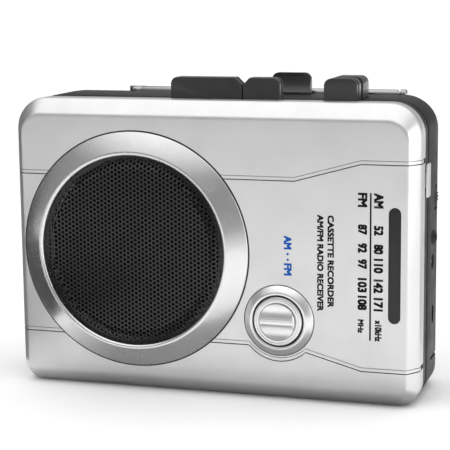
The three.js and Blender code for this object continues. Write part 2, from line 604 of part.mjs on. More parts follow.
function flywheel() {
  const { x, z } = CAPSTAN;
  const wheel = turned('y', x, z, [
    [0, 7.6], [PULLEY.flywheel, 7.6], [PULLEY.flywheel, 10.2], [13, 10.2], [13, 13.6],
    [4, 13.6], [4, 16.4], [1, 16.4], [1, 26.2], [0.7, 26.4], [0, 26.4]], 28);
  return joined(wheel, plateY(gearOutline(x, z, TEETH.flywheel, flywheelPhase), 13.9, 16.3));
}

/** Reel spindle: a table that the cassette lies over and a post with three fins for its hub. */
function spindle(x, z, foot) {
  const post = turned('y', x, z, [
    [0, foot], [3, foot], [3, 18.5], [7, 18.5], [7, 19.5],
    [2.4, 19.5], [2.4, 25.6], [1.6, 26.4], [0, 26.4]], 24);
  const fins = [0, 1, 2].map((i) => {
    const angle = (i / 3) * 2 * Math.PI;
    const fin = new THREE.BoxGeometry(3.6, 6, 1).translate(2, 22.3, 0).rotateY(angle);
    return solid(fin.translate(x, 0, z));
  });
  return joined(post, ...fins);
}

add('deck_chassis', 'steel', chassis());
add('motor', 'steel', joined(
  rod('y', MOTOR.x, MOTOR.z, MOTOR.radius, 11, DECK.front - GAP, 32),
  rod('y', MOTOR.x, MOTOR.z, 0.9, 8.6, 11.2, 12)));
add('motor_pulley', 'brass', turned('y', MOTOR.x, MOTOR.z, [
  [0, 7.6], [PULLEY.motor, 7.6], [PULLEY.motor, 10.4], [1.2, 10.4], [1.2, 8.3], [0, 8.3]], 20));
add('drive_belt', 'rubber', belt());
add('flywheel', 'brass', flywheel());
add('idler_gear', 'white', cut(
  plateY(gearOutline(idler.x, idler.z, TEETH.idler, idlerPhase), 14.1, 16.3),
  rod('y', idler.x, idler.z, 1.5, 13, 18, 16)));
add('takeup_spindle', 'white', joined(
  plateY(gearOutline(takeup.x, takeup.z, TEETH.takeup, takeupPhase), 14, 16.4),
  spindle(takeup.x, takeup.z, 14)));
add('supply_spindle', 'white', joined(
  spindle(supply.x, supply.z, 15.9), rod('y', supply.x, supply.z, 4.4, 15.9, 16.6, 24)));

// ---- Heads and pinch roller --------------------------------------------------------------------

function head(x0, x1, y0, y1, top) {
  const [low, high] = [70.3, top];
  const shape = new THREE.Shape();
  shape.moveTo(x1, high);
  shape.lineTo(x0, high);
  shape.lineTo(x0, low + 1.6);
  shape.quadraticCurveTo((x0 + x1) / 2, low - 1.2, x1, low + 1.6);
  return plateY(shape, y0, y1, 10);
}

function armOutline(radius) {
  const [from, to] = [{ x: PINCH.pivotX, z: PINCH.pivotZ }, { x: PINCH.rollerX, z: PINCH.rollerZ }];
  const angle = bearing(from, to);
  const shape = new THREE.Shape();
  shape.absarc(to.x, to.z, radius, angle - Math.PI / 2, angle + Math.PI / 2);
  shape.absarc(from.x, from.z, radius, angle + Math.PI / 2, angle + 1.5 * Math.PI);
  return shape;
}

add('head_bridge', 'steel', box(-32, 8, DECK.back + 0.4, 19.5, 71, 78));
add('play_head', 'satin_metal', head(-12.3, 0.3, 19.9, 28.6, 77.5));
add('erase_head', 'black', head(-22.5, -17, 19.9, 27, 76));
add('pinch_arm', 'steel', joined(
  cut(plateY(armOutline(2.3), 19.9, 21.1), rod('y', PINCH.pivotX, PINCH.pivotZ, 1.5, 18, 23, 16)),
  rod('y', PINCH.rollerX, PINCH.rollerZ, 1, 20.5, 27, 16)));
add('pinch_roller', 'rubber', turned('y', PINCH.rollerX, PINCH.rollerZ, [
  [1.3, 21.5], [PINCH.roller, 21.5], [PINCH.roller, 26.7], [1.3, 26.7], [1.3, 21.5]], 28));

// ---- Keys --------------------------------------------------------------------------------------

/** Front view of a key: each top corner is rounded or cut at 45 degrees. */
function keyOutline(x0, x1, low, top, left, right) {
  const radius = 2;
  const shape = new THREE.Shape();
  shape.moveTo(x0, low);
  shape.lineTo(x1, low);
  shape.lineTo(x1, top - radius);
  if (right === 'round') shape.absarc(x1 - radius, top - radius, radius, 0, Math.PI / 2);
  else shape.lineTo(x1 - radius, top);
  shape.lineTo(x0 + radius, top);
  if (left === 'round') shape.absarc(x0 + radius, top - radius, radius, Math.PI / 2, Math.PI);
  else shape.lineTo(x0, top - radius);
  return shape;
}

const flange = (x0, x1, y0, y1) => box(x0, x1, y0, y1, KEY_FOOT, FLANGE_TOP - 0.1);

function frontKey([x0, x1], left, right) {
  const { front, back } = KEY_ROW;
  const outside = [left === 'round' ? x0 - 0.8 : x0, right === 'round' ? x1 + 0.8 : x1];
  return joined(
    plateY(keyOutline(x0, x1, KEY_FOOT, KEY_TOP, left, right), front, back, 5),
    flange(...outside, front - 0.7, back + 0.7));
}

function recordKey() {
  const [x0, x1] = KEYS.record;
  const [front, back] = [RECORD_RIBS[0][0], RECORD_RIBS[2][1]];
  const ribOutline = keyOutline(x0, x1, 82, KEY_TOP, 'round', 'round');
  const ribs = RECORD_RIBS.map(([y0, y1]) => plateY(ribOutline, y0, y1, 5));
  return joined(box(x0, x1, front, back, KEY_FOOT + 0.2, HEIGHT - 0.3), ...ribs,
    box(x0 - 0.8, x1 + 0.8, front - 0.7, back + 0.7, KEY_FOOT + 0.2, FLANGE_TOP - 0.3));
}

function ejectKey() {
  const [x0, x1] = KEYS.eject;
  const { front, back } = EJECT_ROW;
  const scoop = rod('x', front - 5.4, 88.4, 7, x0 - 1, x1 + 1, 28);
  return joined(
    cut(plateY(keyOutline(x0, x1, KEY_FOOT, 89.5, 'round', 'round'), front, back, 5), scoop),
    flange(x0 - 0.8, x1 + 0.8, front, back));
}

add('play_key', 'charcoal', frontKey(KEYS.play, 'round', 'cut'));
add('fast_forward_key', 'charcoal', frontKey(KEYS.forward, 'cut', 'round'));
add('record_key', 'charcoal', recordKey());
add('stop_eject_key', 'charcoal', ejectKey());

const machine = new THREE.Group();
machine.add(player);

export default machine;
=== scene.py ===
"""Looks of the pocket cassette player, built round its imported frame.

Sizes are in millimetres. Depth y is read from the flat of the front: 0 on the flat, positive
towards the tape door. `placed` turns such a point into the frame's metres.
"""

import json
import math

import bpy
import bmesh
import numpy as np
from mathutils import Matrix, Vector


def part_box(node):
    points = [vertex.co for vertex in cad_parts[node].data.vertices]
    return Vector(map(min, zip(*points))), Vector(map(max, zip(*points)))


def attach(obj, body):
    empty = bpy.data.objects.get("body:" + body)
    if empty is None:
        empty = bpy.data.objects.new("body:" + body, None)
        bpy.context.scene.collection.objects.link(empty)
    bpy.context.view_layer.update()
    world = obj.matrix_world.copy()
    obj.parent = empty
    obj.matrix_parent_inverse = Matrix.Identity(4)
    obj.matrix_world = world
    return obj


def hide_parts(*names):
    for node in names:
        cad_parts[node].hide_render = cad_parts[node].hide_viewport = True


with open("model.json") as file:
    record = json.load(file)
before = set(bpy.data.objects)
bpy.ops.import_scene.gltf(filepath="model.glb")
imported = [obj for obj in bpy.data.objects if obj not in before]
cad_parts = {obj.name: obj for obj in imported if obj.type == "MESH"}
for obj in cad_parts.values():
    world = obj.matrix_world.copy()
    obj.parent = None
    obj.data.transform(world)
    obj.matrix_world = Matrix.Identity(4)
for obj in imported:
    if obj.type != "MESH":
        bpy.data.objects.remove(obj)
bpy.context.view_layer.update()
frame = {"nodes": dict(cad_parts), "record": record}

MM = 0.001
FRONT_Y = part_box("front_shell")[0].y
WIDTH = (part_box("front_shell")[1].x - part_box("front_shell")[0].x) / MM
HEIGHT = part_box("front_shell")[1].z / MM
HALF_X = WIDTH / 2

WALL = 1.8
GAP = 0.3
FLAT = (56.1, 4.1, 79.1, 2.5, 6)  # half width, low, high, low radius, high radius
SIDE = (HALF_X, 0, HEIGHT, 6, 9)
BEVEL_Y = 4.2
SILVER_Y = 9.35  # the silver part of the front shell ends here
PARTING_Y = 14.4
SIDE_END_Y = 29.3
TOP_END_Y = 31.8
BACK_Y = 35.7

SPEAKER = (-21.9, 41.1)
RING_R = 33.5
SELECTOR = (20.35, 23.1)
WINDOW = (52.6, 24, 55.8, 3.4)  # centre x, low z, high z, width
SCALE_X = 46
KEY_TOP = 89.4
KEYS = {"play_key": (-13.3, 7.55), "fast_forward_key": (7.85, 18.5),
        "record_key": (31, 40.2), "stop_eject_key": (10.5, 22)}  # left and right x
RECORD_RIBS = [(8.3, 9.5), (10.5, 13.5), (16, 23.3)]  # front and back y
TUNING = (52.8, 55.15, 6.7, 24.9, 28.2)  # x, z, radius, front y, back y
VOLUME = (-52.75, 68, 7, 10.3, 13.3)
SLIDER = (61.95, 9.3, 9.4, 13.7)  # centre z, height, front y, back y
SLIDER_SLOT = (55, 60, 10.1, 13, 58.3, 65.6)
REMOTE_SOCKET = (23.3, 44.2)  # y and z of its axis
EARPHONE_SOCKET = (22.5, 37.4)
MICROPHONE = (23.4, 19.4, 24.8, 2.6)  # centre y, low z, high z, width
ANTENNA = (33.2, 83.4)  # y and z of its axis
ANTENNA_X = -33.6  # where it pivots
DOOR_HINGE = (33.8, 11.8)  # y and z of its pin
DOOR_WINDOW = (-32, 20, 24, 46)  # left, right, low, high
HATCH_SLOT_X = 47.3
CASE_SCREW = (52.5, 5)  # x and z


# ---- Solids as (vertices, faces) ------------------------------------------------------------------

def merged(*solids):
    verts, faces = [], []
    for solid_verts, solid_faces in solids:
        start = len(verts)
        verts += [tuple(v) for v in solid_verts]
        faces += [tuple(i + start for i in face) for face in solid_faces]
    return verts, faces


def block(x0, x1, y0, y1, z0, z1):
    verts = [(x, y, z) for x in (x0, x1) for y in (y0, y1) for z in (z0, z1)]
    faces = [(0, 1, 3, 2), (4, 6, 7, 5), (0, 4, 5, 1), (2, 3, 7, 6), (0, 2, 6, 4), (1, 5, 7, 3)]
    return verts, faces


def on_axis(axis, a, b, radius, place, angle):
    """A point of a body turned about an axis through (a, b)."""
    u, v = radius * math.cos(angle), radius * math.sin(angle)
    return {"x": (place, a + u, b + v), "y": (a + u, place, b + v), "z": (a + u, b + v, place)}[axis]


def turned(axis, a, b, profile, segments=96):
    """A body of revolution. The profile starts and ends on the axis, or closes on itself."""
    verts, rows = [], []
    for radius, place in profile:
        if radius < 1e-6:
            rows.append([len(verts)] * segments)
            verts.append(on_axis(axis, a, b, 0, place, 0))
        else:
            rows.append(list(range(len(verts), len(verts) + segments)))
            angles = [2 * math.pi * i / segments for i in range(segments)]
            verts += [on_axis(axis, a, b, radius, place, angle) for angle in angles]
    pairs = list(zip(rows, rows[1:]))
    if profile[0][0] > 1e-6:
        pairs.append((rows[-1], rows[0]))
    faces = []
    for low, high in pairs:
        for i in range(segments):
            j = (i + 1) % segments
            face = dict.fromkeys((low[i], low[j], high[j], high[i]))
            if len(face) > 2:
                faces.append(tuple(face))
    return verts, faces


def rod(axis, a, b, radius, start, end, segments=48):
    return turned(axis, a, b, [(0, start), (radius, start), (radius, end), (0, end)], segments)


def skin(rings, closed=False):
    """A skin through rings of equal point count; its ends are capped unless it closes on itself."""
    count = len(rings[0])
    verts = [point for ring in rings for point in ring]
    faces = []
    steps = len(rings) if closed else len(rings) - 1
    for s in range(steps):
        here, there = s * count, ((s + 1) % len(rings)) * count
        for i in range(count):
            j = (i + 1) % count
            faces.append((here + i, here + j, there + j, there + i))
    if not closed:
        faces.append(tuple(reversed(range(count))))
        faces.append(tuple(range(len(verts) - count, len(verts))))
    return verts, faces


def slab(axis, outline, low, high):
    """An outline pushed along an axis: its two numbers are (x, z) for y and (y, z) for x."""
    def at(place):
        return [(a, place, b) if axis == "y" else (place, a, b) for a, b in outline]
    return skin([at(low), at(high)])


def arc(cx, cz, radius, start, end, steps=8):
    """Points of an arc, with angles in degrees."""
    angles = [math.radians(start + (end - start) * i / steps) for i in range(steps + 1)]
    return [(cx + radius * math.cos(t), cz + radius * math.sin(t)) for t in angles]


def eased(points, size, steps=4, closed=True):
    """The same path with every corner rounded off over `size`."""
    out = []
    count = len(points)
    for i, (x, z) in enumerate(points):
        if not closed and i in (0, count - 1):
            out.append((x, z))
            continue
        here = Vector((x, z))
        before, after = Vector(points[i - 1]), Vector(points[(i + 1) % count])
        a = here + (before - here).normalized() * min(size, (before - here).length * 0.45)
        b = here + (after - here).normalized() * min(size, (after - here).length * 0.45)
        for k in range(steps + 1):
            t = k / steps
            out.append(tuple(a * (1 - t) ** 2 + here * 2 * t * (1 - t) + b * t ** 2))
    return out


def stadium(a, low, high, width, steps=12):
    r = width / 2
    return arc(a, high - r, r, 0, 180, steps) + arc(a, low + r, r, 180, 360, steps)


def case_outline(half_x, low, high, low_radius, high_radius, steps=14):
    """Rectangle with round corners, anticlockwise, with a fixed number of points."""
    return (arc(half_x - low_radius, low + low_radius, low_radius, -90, 0, steps)
            + arc(half_x - high_radius, high - high_radius, high_radius, 0, 90, steps)
            + arc(-half_x + high_radius, high - high_radius, high_radius, 90, 180, steps)
            + arc(-half_x + low_radius, low + low_radius, low_radius, 180, 270, steps))


def rectangle(left, right, low, high, grow=0.0):
    left, right, low, high = left - grow, right + grow, low - grow, high + grow
    return [(left, low), (right, low), (right, high), (left, high)]


def ring_at(y, size):
    return [(x, y, z) for x, z in case_outline(*size)]


def inset(size, d):
    half_x, low, high, low_radius, high_radius = size
    return half_x - d, low + d, high - d, max(low_radius - d, 0.4), max(high_radius - d, 0.4)


def mixed(a, b, t):
    return tuple(p + (q - p) * t for p, q in zip(a, b))


def curve_between(p0, p1, p2, steps=5):
    """A quadratic curve as a list of (t, y) points."""
    def at(t):
        return tuple((1 - t) ** 2 * a + 2 * t * (1 - t) * b + t ** 2 * c for a, b, c in zip(p0, p1, p2))
    return [at(i / steps) for i in range(steps + 1)]


# ---- Pieces ---------------------------------------------------------------------------------------

def placed(point):
    x, y, z = point
    return x * MM, y * MM + FRONT_Y, z * MM


def bare_object(name, solid):
    verts, faces = solid
    mesh = bpy.data.meshes.new(name)
    mesh.from_pydata([placed(v) for v in verts], [], faces)
    tidy = bmesh.new()
    tidy.from_mesh(mesh)
    bmesh.ops.remove_doubles(tidy, verts=tidy.verts, dist=1e-7)
    bmesh.ops.recalc_face_normals(tidy, faces=tidy.faces)
    tidy.to_mesh(mesh)
    tidy.free()
    obj = bpy.data.objects.new(name, mesh)
    bpy.context.scene.collection.objects.link(obj)
    return obj


def settle(obj):
    """Applies the object's modifiers to its mesh."""
    shown = obj.evaluated_get(bpy.context.evaluated_depsgraph_get())
    mesh = bpy.data.meshes.new_from_object(shown)
    obj.modifiers.clear()
    obj.data = mesh


def boolean(obj, *solids, operation="DIFFERENCE", paint=None):
    """Works the solids into the object one by one. The faces they leave take the paint."""
    for solid in solids:
        tool = bare_object("tool", solid)
        if paint:
            tool.data.materials.append(paint)
        step = obj.modifiers.new("step", "BOOLEAN")
        step.operation = operation
        step.solver = "EXACT"
        step.material_mode = "TRANSFER" if paint else "INDEX"
        step.object = tool
        settle(obj)
        bpy.data.objects.remove(tool)
    return obj


def soften(obj, width, segments=2, angle=40):
    edge = obj.modifiers.new("edge", "BEVEL")
    edge.width = width * MM
    edge.segments = segments
    edge.limit_method = "ANGLE"
    edge.angle_limit = math.radians(angle)
    edge.harden_normals = False
    settle(obj)
    return obj


def finished(obj, slot, body="case", stands_for=(), material=None, crease=35):
    """Shades a piece, gives it its material, and hangs it on its body."""
    if not obj.data.materials:
        obj.data.materials.append(material or MATERIALS[slot])
    obj.data.polygons.foreach_set("use_smooth", [True] * len(obj.data.polygons))
    obj.data.set_sharp_from_angle(angle=math.radians(crease))
    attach(obj, body)
    if stands_for:
        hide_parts(*stands_for)
    return obj


def piece(name, solid, slot, body="case", stands_for=(), material=None, crease=35):
    return finished(bare_object(name, solid), slot, body, stands_for, material, crease)


# ---- Materials ------------------------------------------------------------------------------------

class Recipe:
    """A node material with a Principled shader, and helpers for its patterns."""

    def __init__(self, name, base, roughness, metallic=0.0, **sockets):
        self.material = bpy.data.materials.new(name)
        self.material.use_nodes = True
        self.nodes = self.material.node_tree.nodes
        self.links = self.material.node_tree.links
        self.shader = self.nodes["Principled BSDF"]
        self.base = base
        self.place = self.nodes.new("ShaderNodeTexCoord").outputs["Object"]
        self.shader.inputs["Base Color"].default_value = (*base, 1)
        self.shader.inputs["Roughness"].default_value = roughness
        self.shader.inputs["Metallic"].default_value = metallic
        for socket, value in sockets.items():
            self.shader.inputs[socket.replace("_", " ")].default_value = value
        self.normal = None

    def noise(self, size_mm, detail=3.0, place=None, stretch=None):
        """Noise whose features are about size_mm across."""
        source = place or self.place
        if stretch:
            mapping = self.nodes.new("ShaderNodeMapping")
            mapping.inputs["Scale"].default_value = stretch
            self.links.new(source, mapping.inputs["Vector"])
            source = mapping.outputs["Vector"]
        node = self.nodes.new("ShaderNodeTexNoise")
        node.inputs["Scale"].default_value = 1 / (size_mm * MM)
        node.inputs["Detail"].default_value = detail
        self.links.new(source, node.inputs["Vector"])
        return node.outputs["Fac"]

    def spread(self, value, low, high, start=0.3, end=0.7):
        node = self.nodes.new("ShaderNodeMapRange")
        node.inputs["From Min"].default_value = start
        node.inputs["From Max"].default_value = end
        node.inputs["To Min"].default_value = low
        node.inputs["To Max"].default_value = high
        self.links.new(value, node.inputs["Value"])
        return node.outputs["Result"]

    def tint(self, value, dark, light, start=0.3, end=0.7):
        """Base colour between two shades of the base."""
        node = self.nodes.new("ShaderNodeMix")
        node.data_type = "RGBA"
        node.inputs[6].default_value = (*[c * dark for c in self.base], 1)
        node.inputs[7].default_value = (*[min(c * light, 1) for c in self.base], 1)
        self.links.new(self.spread(value, 0, 1, start, end), node.inputs[0])
        self.links.new(node.outputs[2], self.shader.inputs["Base Color"])
        return self

    def rough(self, value, low, high):
        self.links.new(self.spread(value, low, high), self.shader.inputs["Roughness"])
        return self

    def bump(self, value, strength, depth_mm):
        node = self.nodes.new("ShaderNodeBump")
        node.inputs["Strength"].default_value = strength
        node.inputs["Distance"].default_value = depth_mm * MM
        self.links.new(value, node.inputs["Height"])
        if self.normal:
            self.links.new(self.normal, node.inputs["Normal"])
        self.normal = node.outputs["Normal"]
        self.links.new(self.normal, self.shader.inputs["Normal"])
        return self

    def around(self, centre):
        """Distance from an axis along Y through centre, as a vector for patterns of rings."""
        shift = self.nodes.new("ShaderNodeVectorMath")
        shift.operation = "SUBTRACT"
        shift.inputs[1].default_value = (centre[0] * MM, 0, centre[1] * MM)
        self.links.new(self.place, shift.inputs[0])
        flat = self.nodes.new("ShaderNodeVectorMath")
        flat.operation = "MULTIPLY"
        flat.inputs[1].default_value = (1, 0, 1)
        self.links.new(shift.outputs[0], flat.inputs[0])
        length = self.nodes.new("ShaderNodeVectorMath")
        length.operation = "LENGTH"
        self.links.new(flat.outputs[0], length.inputs[0])
        both = self.nodes.new("ShaderNodeCombineXYZ")
        self.links.new(length.outputs["Value"], both.inputs[0])
        return both.outputs[0]


def painted_silver():
    r = Recipe("silver_paint", (0.77, 0.767, 0.773), 0.34, 0.8)
    flake = r.noise(0.09, 2)
    r.tint(r.noise(14, 2), 0.97, 1.03).rough(r.noise(6, 3), 0.33, 0.4)
    r.bump(flake, 0.05, 0.02).bump(r.noise(0.8, 1), 0.03, 0.02)
    return r.material


# Grey paint for the front's recesses, standing in for the shade that falls in them: painted shade.
def groove_paint(name, shade):
    r = Recipe(name, (shade, shade, shade * 1.02), 0.5, 0.3)
    r.tint(r.noise(1.2), 0.8, 1.2).rough(r.noise(2), 0.42, 0.6)
    return r.material


def moulded(name, base, roughness, grain_mm=0.12, depth=0.03, **sockets):
    """Moulded plastic with a fine spark-eroded grain and faint handling marks."""
    r = Recipe(name, base, roughness, **sockets)
    grain = r.noise(grain_mm, 2)
    r.tint(r.noise(3.5, 4), 0.9, 1.12).rough(r.noise(5, 4), roughness - 0.06, roughness + 0.07)
    r.bump(grain, 0.25, depth)
    return r.material


def spun(name, base, roughness, centre, line_mm=0.05):
    """Metal turned on a lathe: fine rings round an axis."""
    r = Recipe(name, base, roughness, 1.0)
    rings = r.noise(line_mm, 2, r.around(centre))
    r.tint(rings, 0.95, 1.04).rough(r.noise(4, 3), roughness - 0.03, roughness + 0.05)
    r.bump(rings, 0.08, 0.01)
    return r.material


def metal(name, base, roughness, scratch_mm=0.3, stretch=(1, 1, 12)):
    r = Recipe(name, base, roughness, 1.0)
    lines = r.noise(scratch_mm, 3, stretch=stretch)
    r.tint(r.noise(4, 3), 0.9, 1.08).rough(lines, max(roughness - 0.05, 0.04), roughness + 0.08)
    r.bump(lines, 0.06, 0.01)
    return r.material


def winding():
    r = Recipe("copper_winding", (0.55, 0.2, 0.07), 0.35, 0.9)
    wave = r.nodes.new("ShaderNodeTexWave")
    wave.inputs["Scale"].default_value = 900
    r.links.new(r.place, wave.inputs["Vector"])
    r.tint(wave.outputs["Fac"], 0.35, 1.1, 0.1, 0.9).bump(wave.outputs["Fac"], 0.5, 0.1)
    r.rough(r.noise(0.6), 0.28, 0.45)
    return r.material


def smoked_glass(name, base, alpha):
    r = Recipe(name, base, 0.08, 0.0, Coat_Weight=0.4)
    r.shader.inputs["Alpha"].default_value = alpha
    r.tint(r.noise(6, 3), 0.92, 1.08).rough(r.noise(8, 4), 0.05, 0.13)
    return r.material


MATERIALS = {
    "silver_plastic": painted_silver(),
    "charcoal_plastic": moulded("charcoal_case", (0.02, 0.0195, 0.0205), 0.42, Specular_IOR_Level=0.28),
    "key_plastic": moulded("key_charcoal", (0.025, 0.0245, 0.025), 0.32, 0.1, 0.008,
                           Coat_Weight=0.4, Coat_Roughness=0.15),
    "wheel_plastic": moulded("wheel_black", (0.02, 0.02, 0.021), 0.42),
    "black_plastic": moulded("black_moulding", (0.014, 0.014, 0.015), 0.45),
    "white_plastic": moulded("acetal", (0.72, 0.71, 0.67), 0.38, 0.3, 0.01),
    "orange_plastic": moulded("pointer_orange", (0.75, 0.16, 0.03), 0.35, 0.3, 0.01),
    "smoked_plastic": smoked_glass("smoked_acrylic", (0.03, 0.03, 0.032), 0.82),
    "grille_metal": moulded("grille_paint", (0.01, 0.01, 0.0105), 0.18, 0.2, 0.002),
    "satin_metal": metal("satin_aluminium", (0.6, 0.6, 0.61), 0.28),
    "steel": metal("zinc_steel", (0.5, 0.5, 0.51), 0.36, 0.5),
    "chrome": metal("chrome_plate", (0.44, 0.44, 0.45), 0.2, 0.6, (12, 1, 1)),
    "brass": metal("turned_brass", (0.62, 0.43, 0.16), 0.27),
    "copper_wire": winding(),
    "belt_rubber": moulded("rubber", (0.012, 0.012, 0.012), 0.62, 0.25, 0.02),
    "ferrite": moulded("sintered_ferrite", (0.028, 0.028, 0.03), 0.72, 0.4, 0.05),
    "cone_paper": moulded("pressed_paper", (0.012, 0.012, 0.011), 0.9, 0.35, 0.08),
    "board_laminate": moulded("solder_mask", (0.02, 0.12, 0.045), 0.33, 0.9, 0.02),
    "cell_jacket": metal("cell_jacket", (0.2, 0.22, 0.27), 0.3, 0.5, (12, 1, 1)),
}
RING_METAL = spun("spun_ring", (0.8, 0.8, 0.81), 0.24, SPEAKER)
SELECTOR_METAL = spun("spun_selector", (0.9, 0.9, 0.91), 0.32, SELECTOR, 0.03)
# Painted shade: dark in the front's slits, wells and notches, and a paler grey on the shallow line above each
# slit.
GROOVE = groove_paint("groove_shadow", 0.07)
FAINT_GROOVE = groove_paint("groove_pale_shade", 0.3)
INK_BLACK = moulded("ink_black", (0.006, 0.006, 0.0065), 0.55, 0.2, 0.005, Specular_IOR_Level=0.15)
INK_BLUE = moulded("ink_blue", (0.002, 0.095, 0.44), 0.5, 0.2, 0.005, Specular_IOR_Level=0.2)
WINDOW_INSERT = moulded("dial_lens", (0.012, 0.012, 0.0125), 0.42, 0.5, 0.004)


# ---- Front shell ----------------------------------------------------------------------------------

def key_slot(first, last, front, back, low=80.9):
    """The slot in the case's top that the keys from first to last stand in."""
    return block(KEYS[first][0] - GAP, KEYS[last][1] + GAP, front, back, low, 85)


def silver_front():
    """The bevelled front tray, hollow behind, with its wells and window slot; cut_grooves adds the grooves.
    """
    path = curve_between((-0.22, 0), (0, 0), (0.12, 0.12 * BEVEL_Y))
    path += curve_between((0.86, 0.86 * BEVEL_Y), (1, BEVEL_Y), (1, BEVEL_Y + 0.9))
    path += curve_between((1, SILVER_Y - 0.3), (1, SILVER_Y), (0.9, SILVER_Y), 3)
    rings = [ring_at(y, mixed(FLAT, SIDE, t)) for t, y in path]
    rings += [ring_at(SILVER_Y, inset(SIDE, WALL)), ring_at(6, inset(SIDE, WALL))]
    rings += [ring_at(WALL, (54.8, 5.9, 77.3, 2, 5))]
    shell = bare_object("silver_front", skin(rings))
    ring_well = [(0, -1), (RING_R + 0.38, -1), (RING_R + 0.38, 0.6), (28.6, 0.6), (28.6, 3), (0, 3)]
    knob_well = [(0, -1), (10.1, -1), (10.1, 0.5), (7.7, 0.5), (7.7, 3), (0, 3)]
    shell.data.materials.append(MATERIALS["silver_plastic"])
    wells = turned("y", *SPEAKER, ring_well, 160), turned("y", *SELECTOR, knob_well, 96)
    # The wells' new faces take the dark groove paint: painted shade in the gaps round the ring and the knob.
    boolean(shell, *wells, paint=GROOVE)
    boolean(shell, slab("y", stadium(*WINDOW), -1, 3), key_slot("play_key", "fast_forward_key", 8, 12.6),
            key_slot("record_key", "record_key", 8, 12), block(*SLIDER_SLOT))
    return shell


def channel(points, width, depth):
    """A narrow channel along a path on the case: points are (position, outward normal)."""
    rings = []
    for i, (point, normal) in enumerate(points):
        here = Vector(point)
        before = Vector(points[max(i - 1, 0)][0])
        after = Vector(points[min(i + 1, len(points) - 1)][0])
        n = Vector(normal).normalized()
        along = (after - before).normalized()
        side = along.cross(n).normalized() * (width / 2)
        top, low = here + n * 0.6, here - n * depth
        corners = top + side, top - side, low - side * 0.7, low + side * 0.7
        rings.append([tuple(corner) for corner in corners])
    return skin(rings)


FACE = (0, -1, 0)  # outward normal of the flat


def flat_line(points):
    return [((x, 0, z), FACE) for x, z in points]


def edge_line(side, z, x_from):
    """A level stretch that runs from the flat over the bevel and along the side."""
    slope = (side * 0.82, -0.57, 0)
    return [((side * x_from, 0, z), FACE), ((side * 55.6, 0, z), FACE),
            ((side * 56.5, 0.5, z), slope), ((side * 58.6, 3.7, z), slope),
            ((side * HALF_X, 4.8, z), (side, 0, 0)), ((side * HALF_X, 10, z), (side, 0, 0))]


def groove_routes():
    """The four decorative lines of the front."""
    knob_x, knob_z = SELECTOR
    dip = arc(knob_x, knob_z, 11.1, 220, 313, 12)
    return [
        edge_line(-1, 62.4, 44),
        flat_line([(2, 62.6), (24.8, 62.6), (43.3, 67.7)]) + edge_line(1, 67.7, 45),
        edge_line(-1, 16.2, 40),
        flat_line([(-2, 16.1), (11.2, 16.1)] + dip + [(43.6, 10.7)]) + edge_line(1, 10.7, 45),
    ]


def shifted(route, dz):
    return [((x, y, z + dz), n) for (x, y, z), n in route]


def cut_grooves(shell):
    """Each line is a dark slit with a fainter one just above it, both painted shade."""
    for dz, width, depth, paint in ((-0.5, 0.34, 0.45, GROOVE), (0.55, 0.24, 0.2, FAINT_GROOVE)):
        lines = [channel(shifted(route, dz), width, depth) for route in groove_routes()]
        boolean(shell, *lines, paint=paint)
    # The two notches at the right take the dark groove paint as painted shade.
    notches = block(58.2, 60, 6.6, 10, 67, 68.4), block(58.2, 60, 5.6, 10, 10.2, 11.4)
    boolean(shell, *notches, paint=GROOVE)
    return shell


def band(y0, y1, size, ease=0.25):
    """A hoop of the case's outline, with eased outer edges."""
    rings = [ring_at(y0, inset(size, WALL)), ring_at(y0, inset(size, ease)), ring_at(y0 + ease, size),
             ring_at(y1 - ease, size), ring_at(y1, inset(size, ease)), ring_at(y1, inset(size, WALL))]
    return skin(rings, closed=True)


def build_front():
    finished(cut_grooves(silver_front()), "silver_plastic", stands_for=["front_shell"], crease=28)
    hoop = bare_object("front_band", band(SILVER_Y + 0.12, PARTING_Y - 0.18, inset(SIDE, 0.22)))
    x, z, radius, front, back = VOLUME
    boolean(hoop, key_slot("play_key", "fast_forward_key", 8, 12.6, 80.5),
            key_slot("record_key", "record_key", 8, 16, 80.5), block(*SLIDER_SLOT),
            block(-HATCH_SLOT_X, HATCH_SLOT_X, 8.9, 16, -1, 3),
            rod("y", x, z, radius + 0.35, front - GAP, back + GAP, 64))
    finished(hoop, "charcoal_plastic", stands_for=["front_shell"])


# ---- Rear shell -----------------------------------------------------------------------------------

REAR_SIZES = [(PARTING_Y + 0.18, SIDE), (SIDE_END_Y, SIDE), (TOP_END_Y, (HALF_X - 1, 0, HEIGHT, 6, 9)),
              (BACK_Y, (HALF_X - 3.1, 2.5, HEIGHT - 2.5, 6, 9))]


def rear_outer(shrink=0.0):
    """The outside of the rear half and of the door in it, or a skin a little inside it."""
    ease = 0.35
    sizes = [(y, inset(size, shrink)) for y, size in REAR_SIZES]
    (y0, first), (y1, second), (y2, third), (y3, last) = sizes
    y0, y3 = y0 + shrink, y3 - shrink
    rings = [ring_at(y0, inset(first, ease)), ring_at(y0 + ease * 0.3, inset(first, ease * 0.3)),
             ring_at(y0 + ease, first), ring_at(y1 - 1, second), ring_at(y1 - 0.3, inset(second, 0.03)),
             ring_at(y1 + 0.5, mixed(second, third, 0.3)), ring_at(y2, third),
             ring_at(y3 - 0.9, mixed(third, last, 0.82)), ring_at(y3 - 0.3, inset(last, 0.12)),
             ring_at(y3, inset(last, 0.8))]
    return skin(rings)


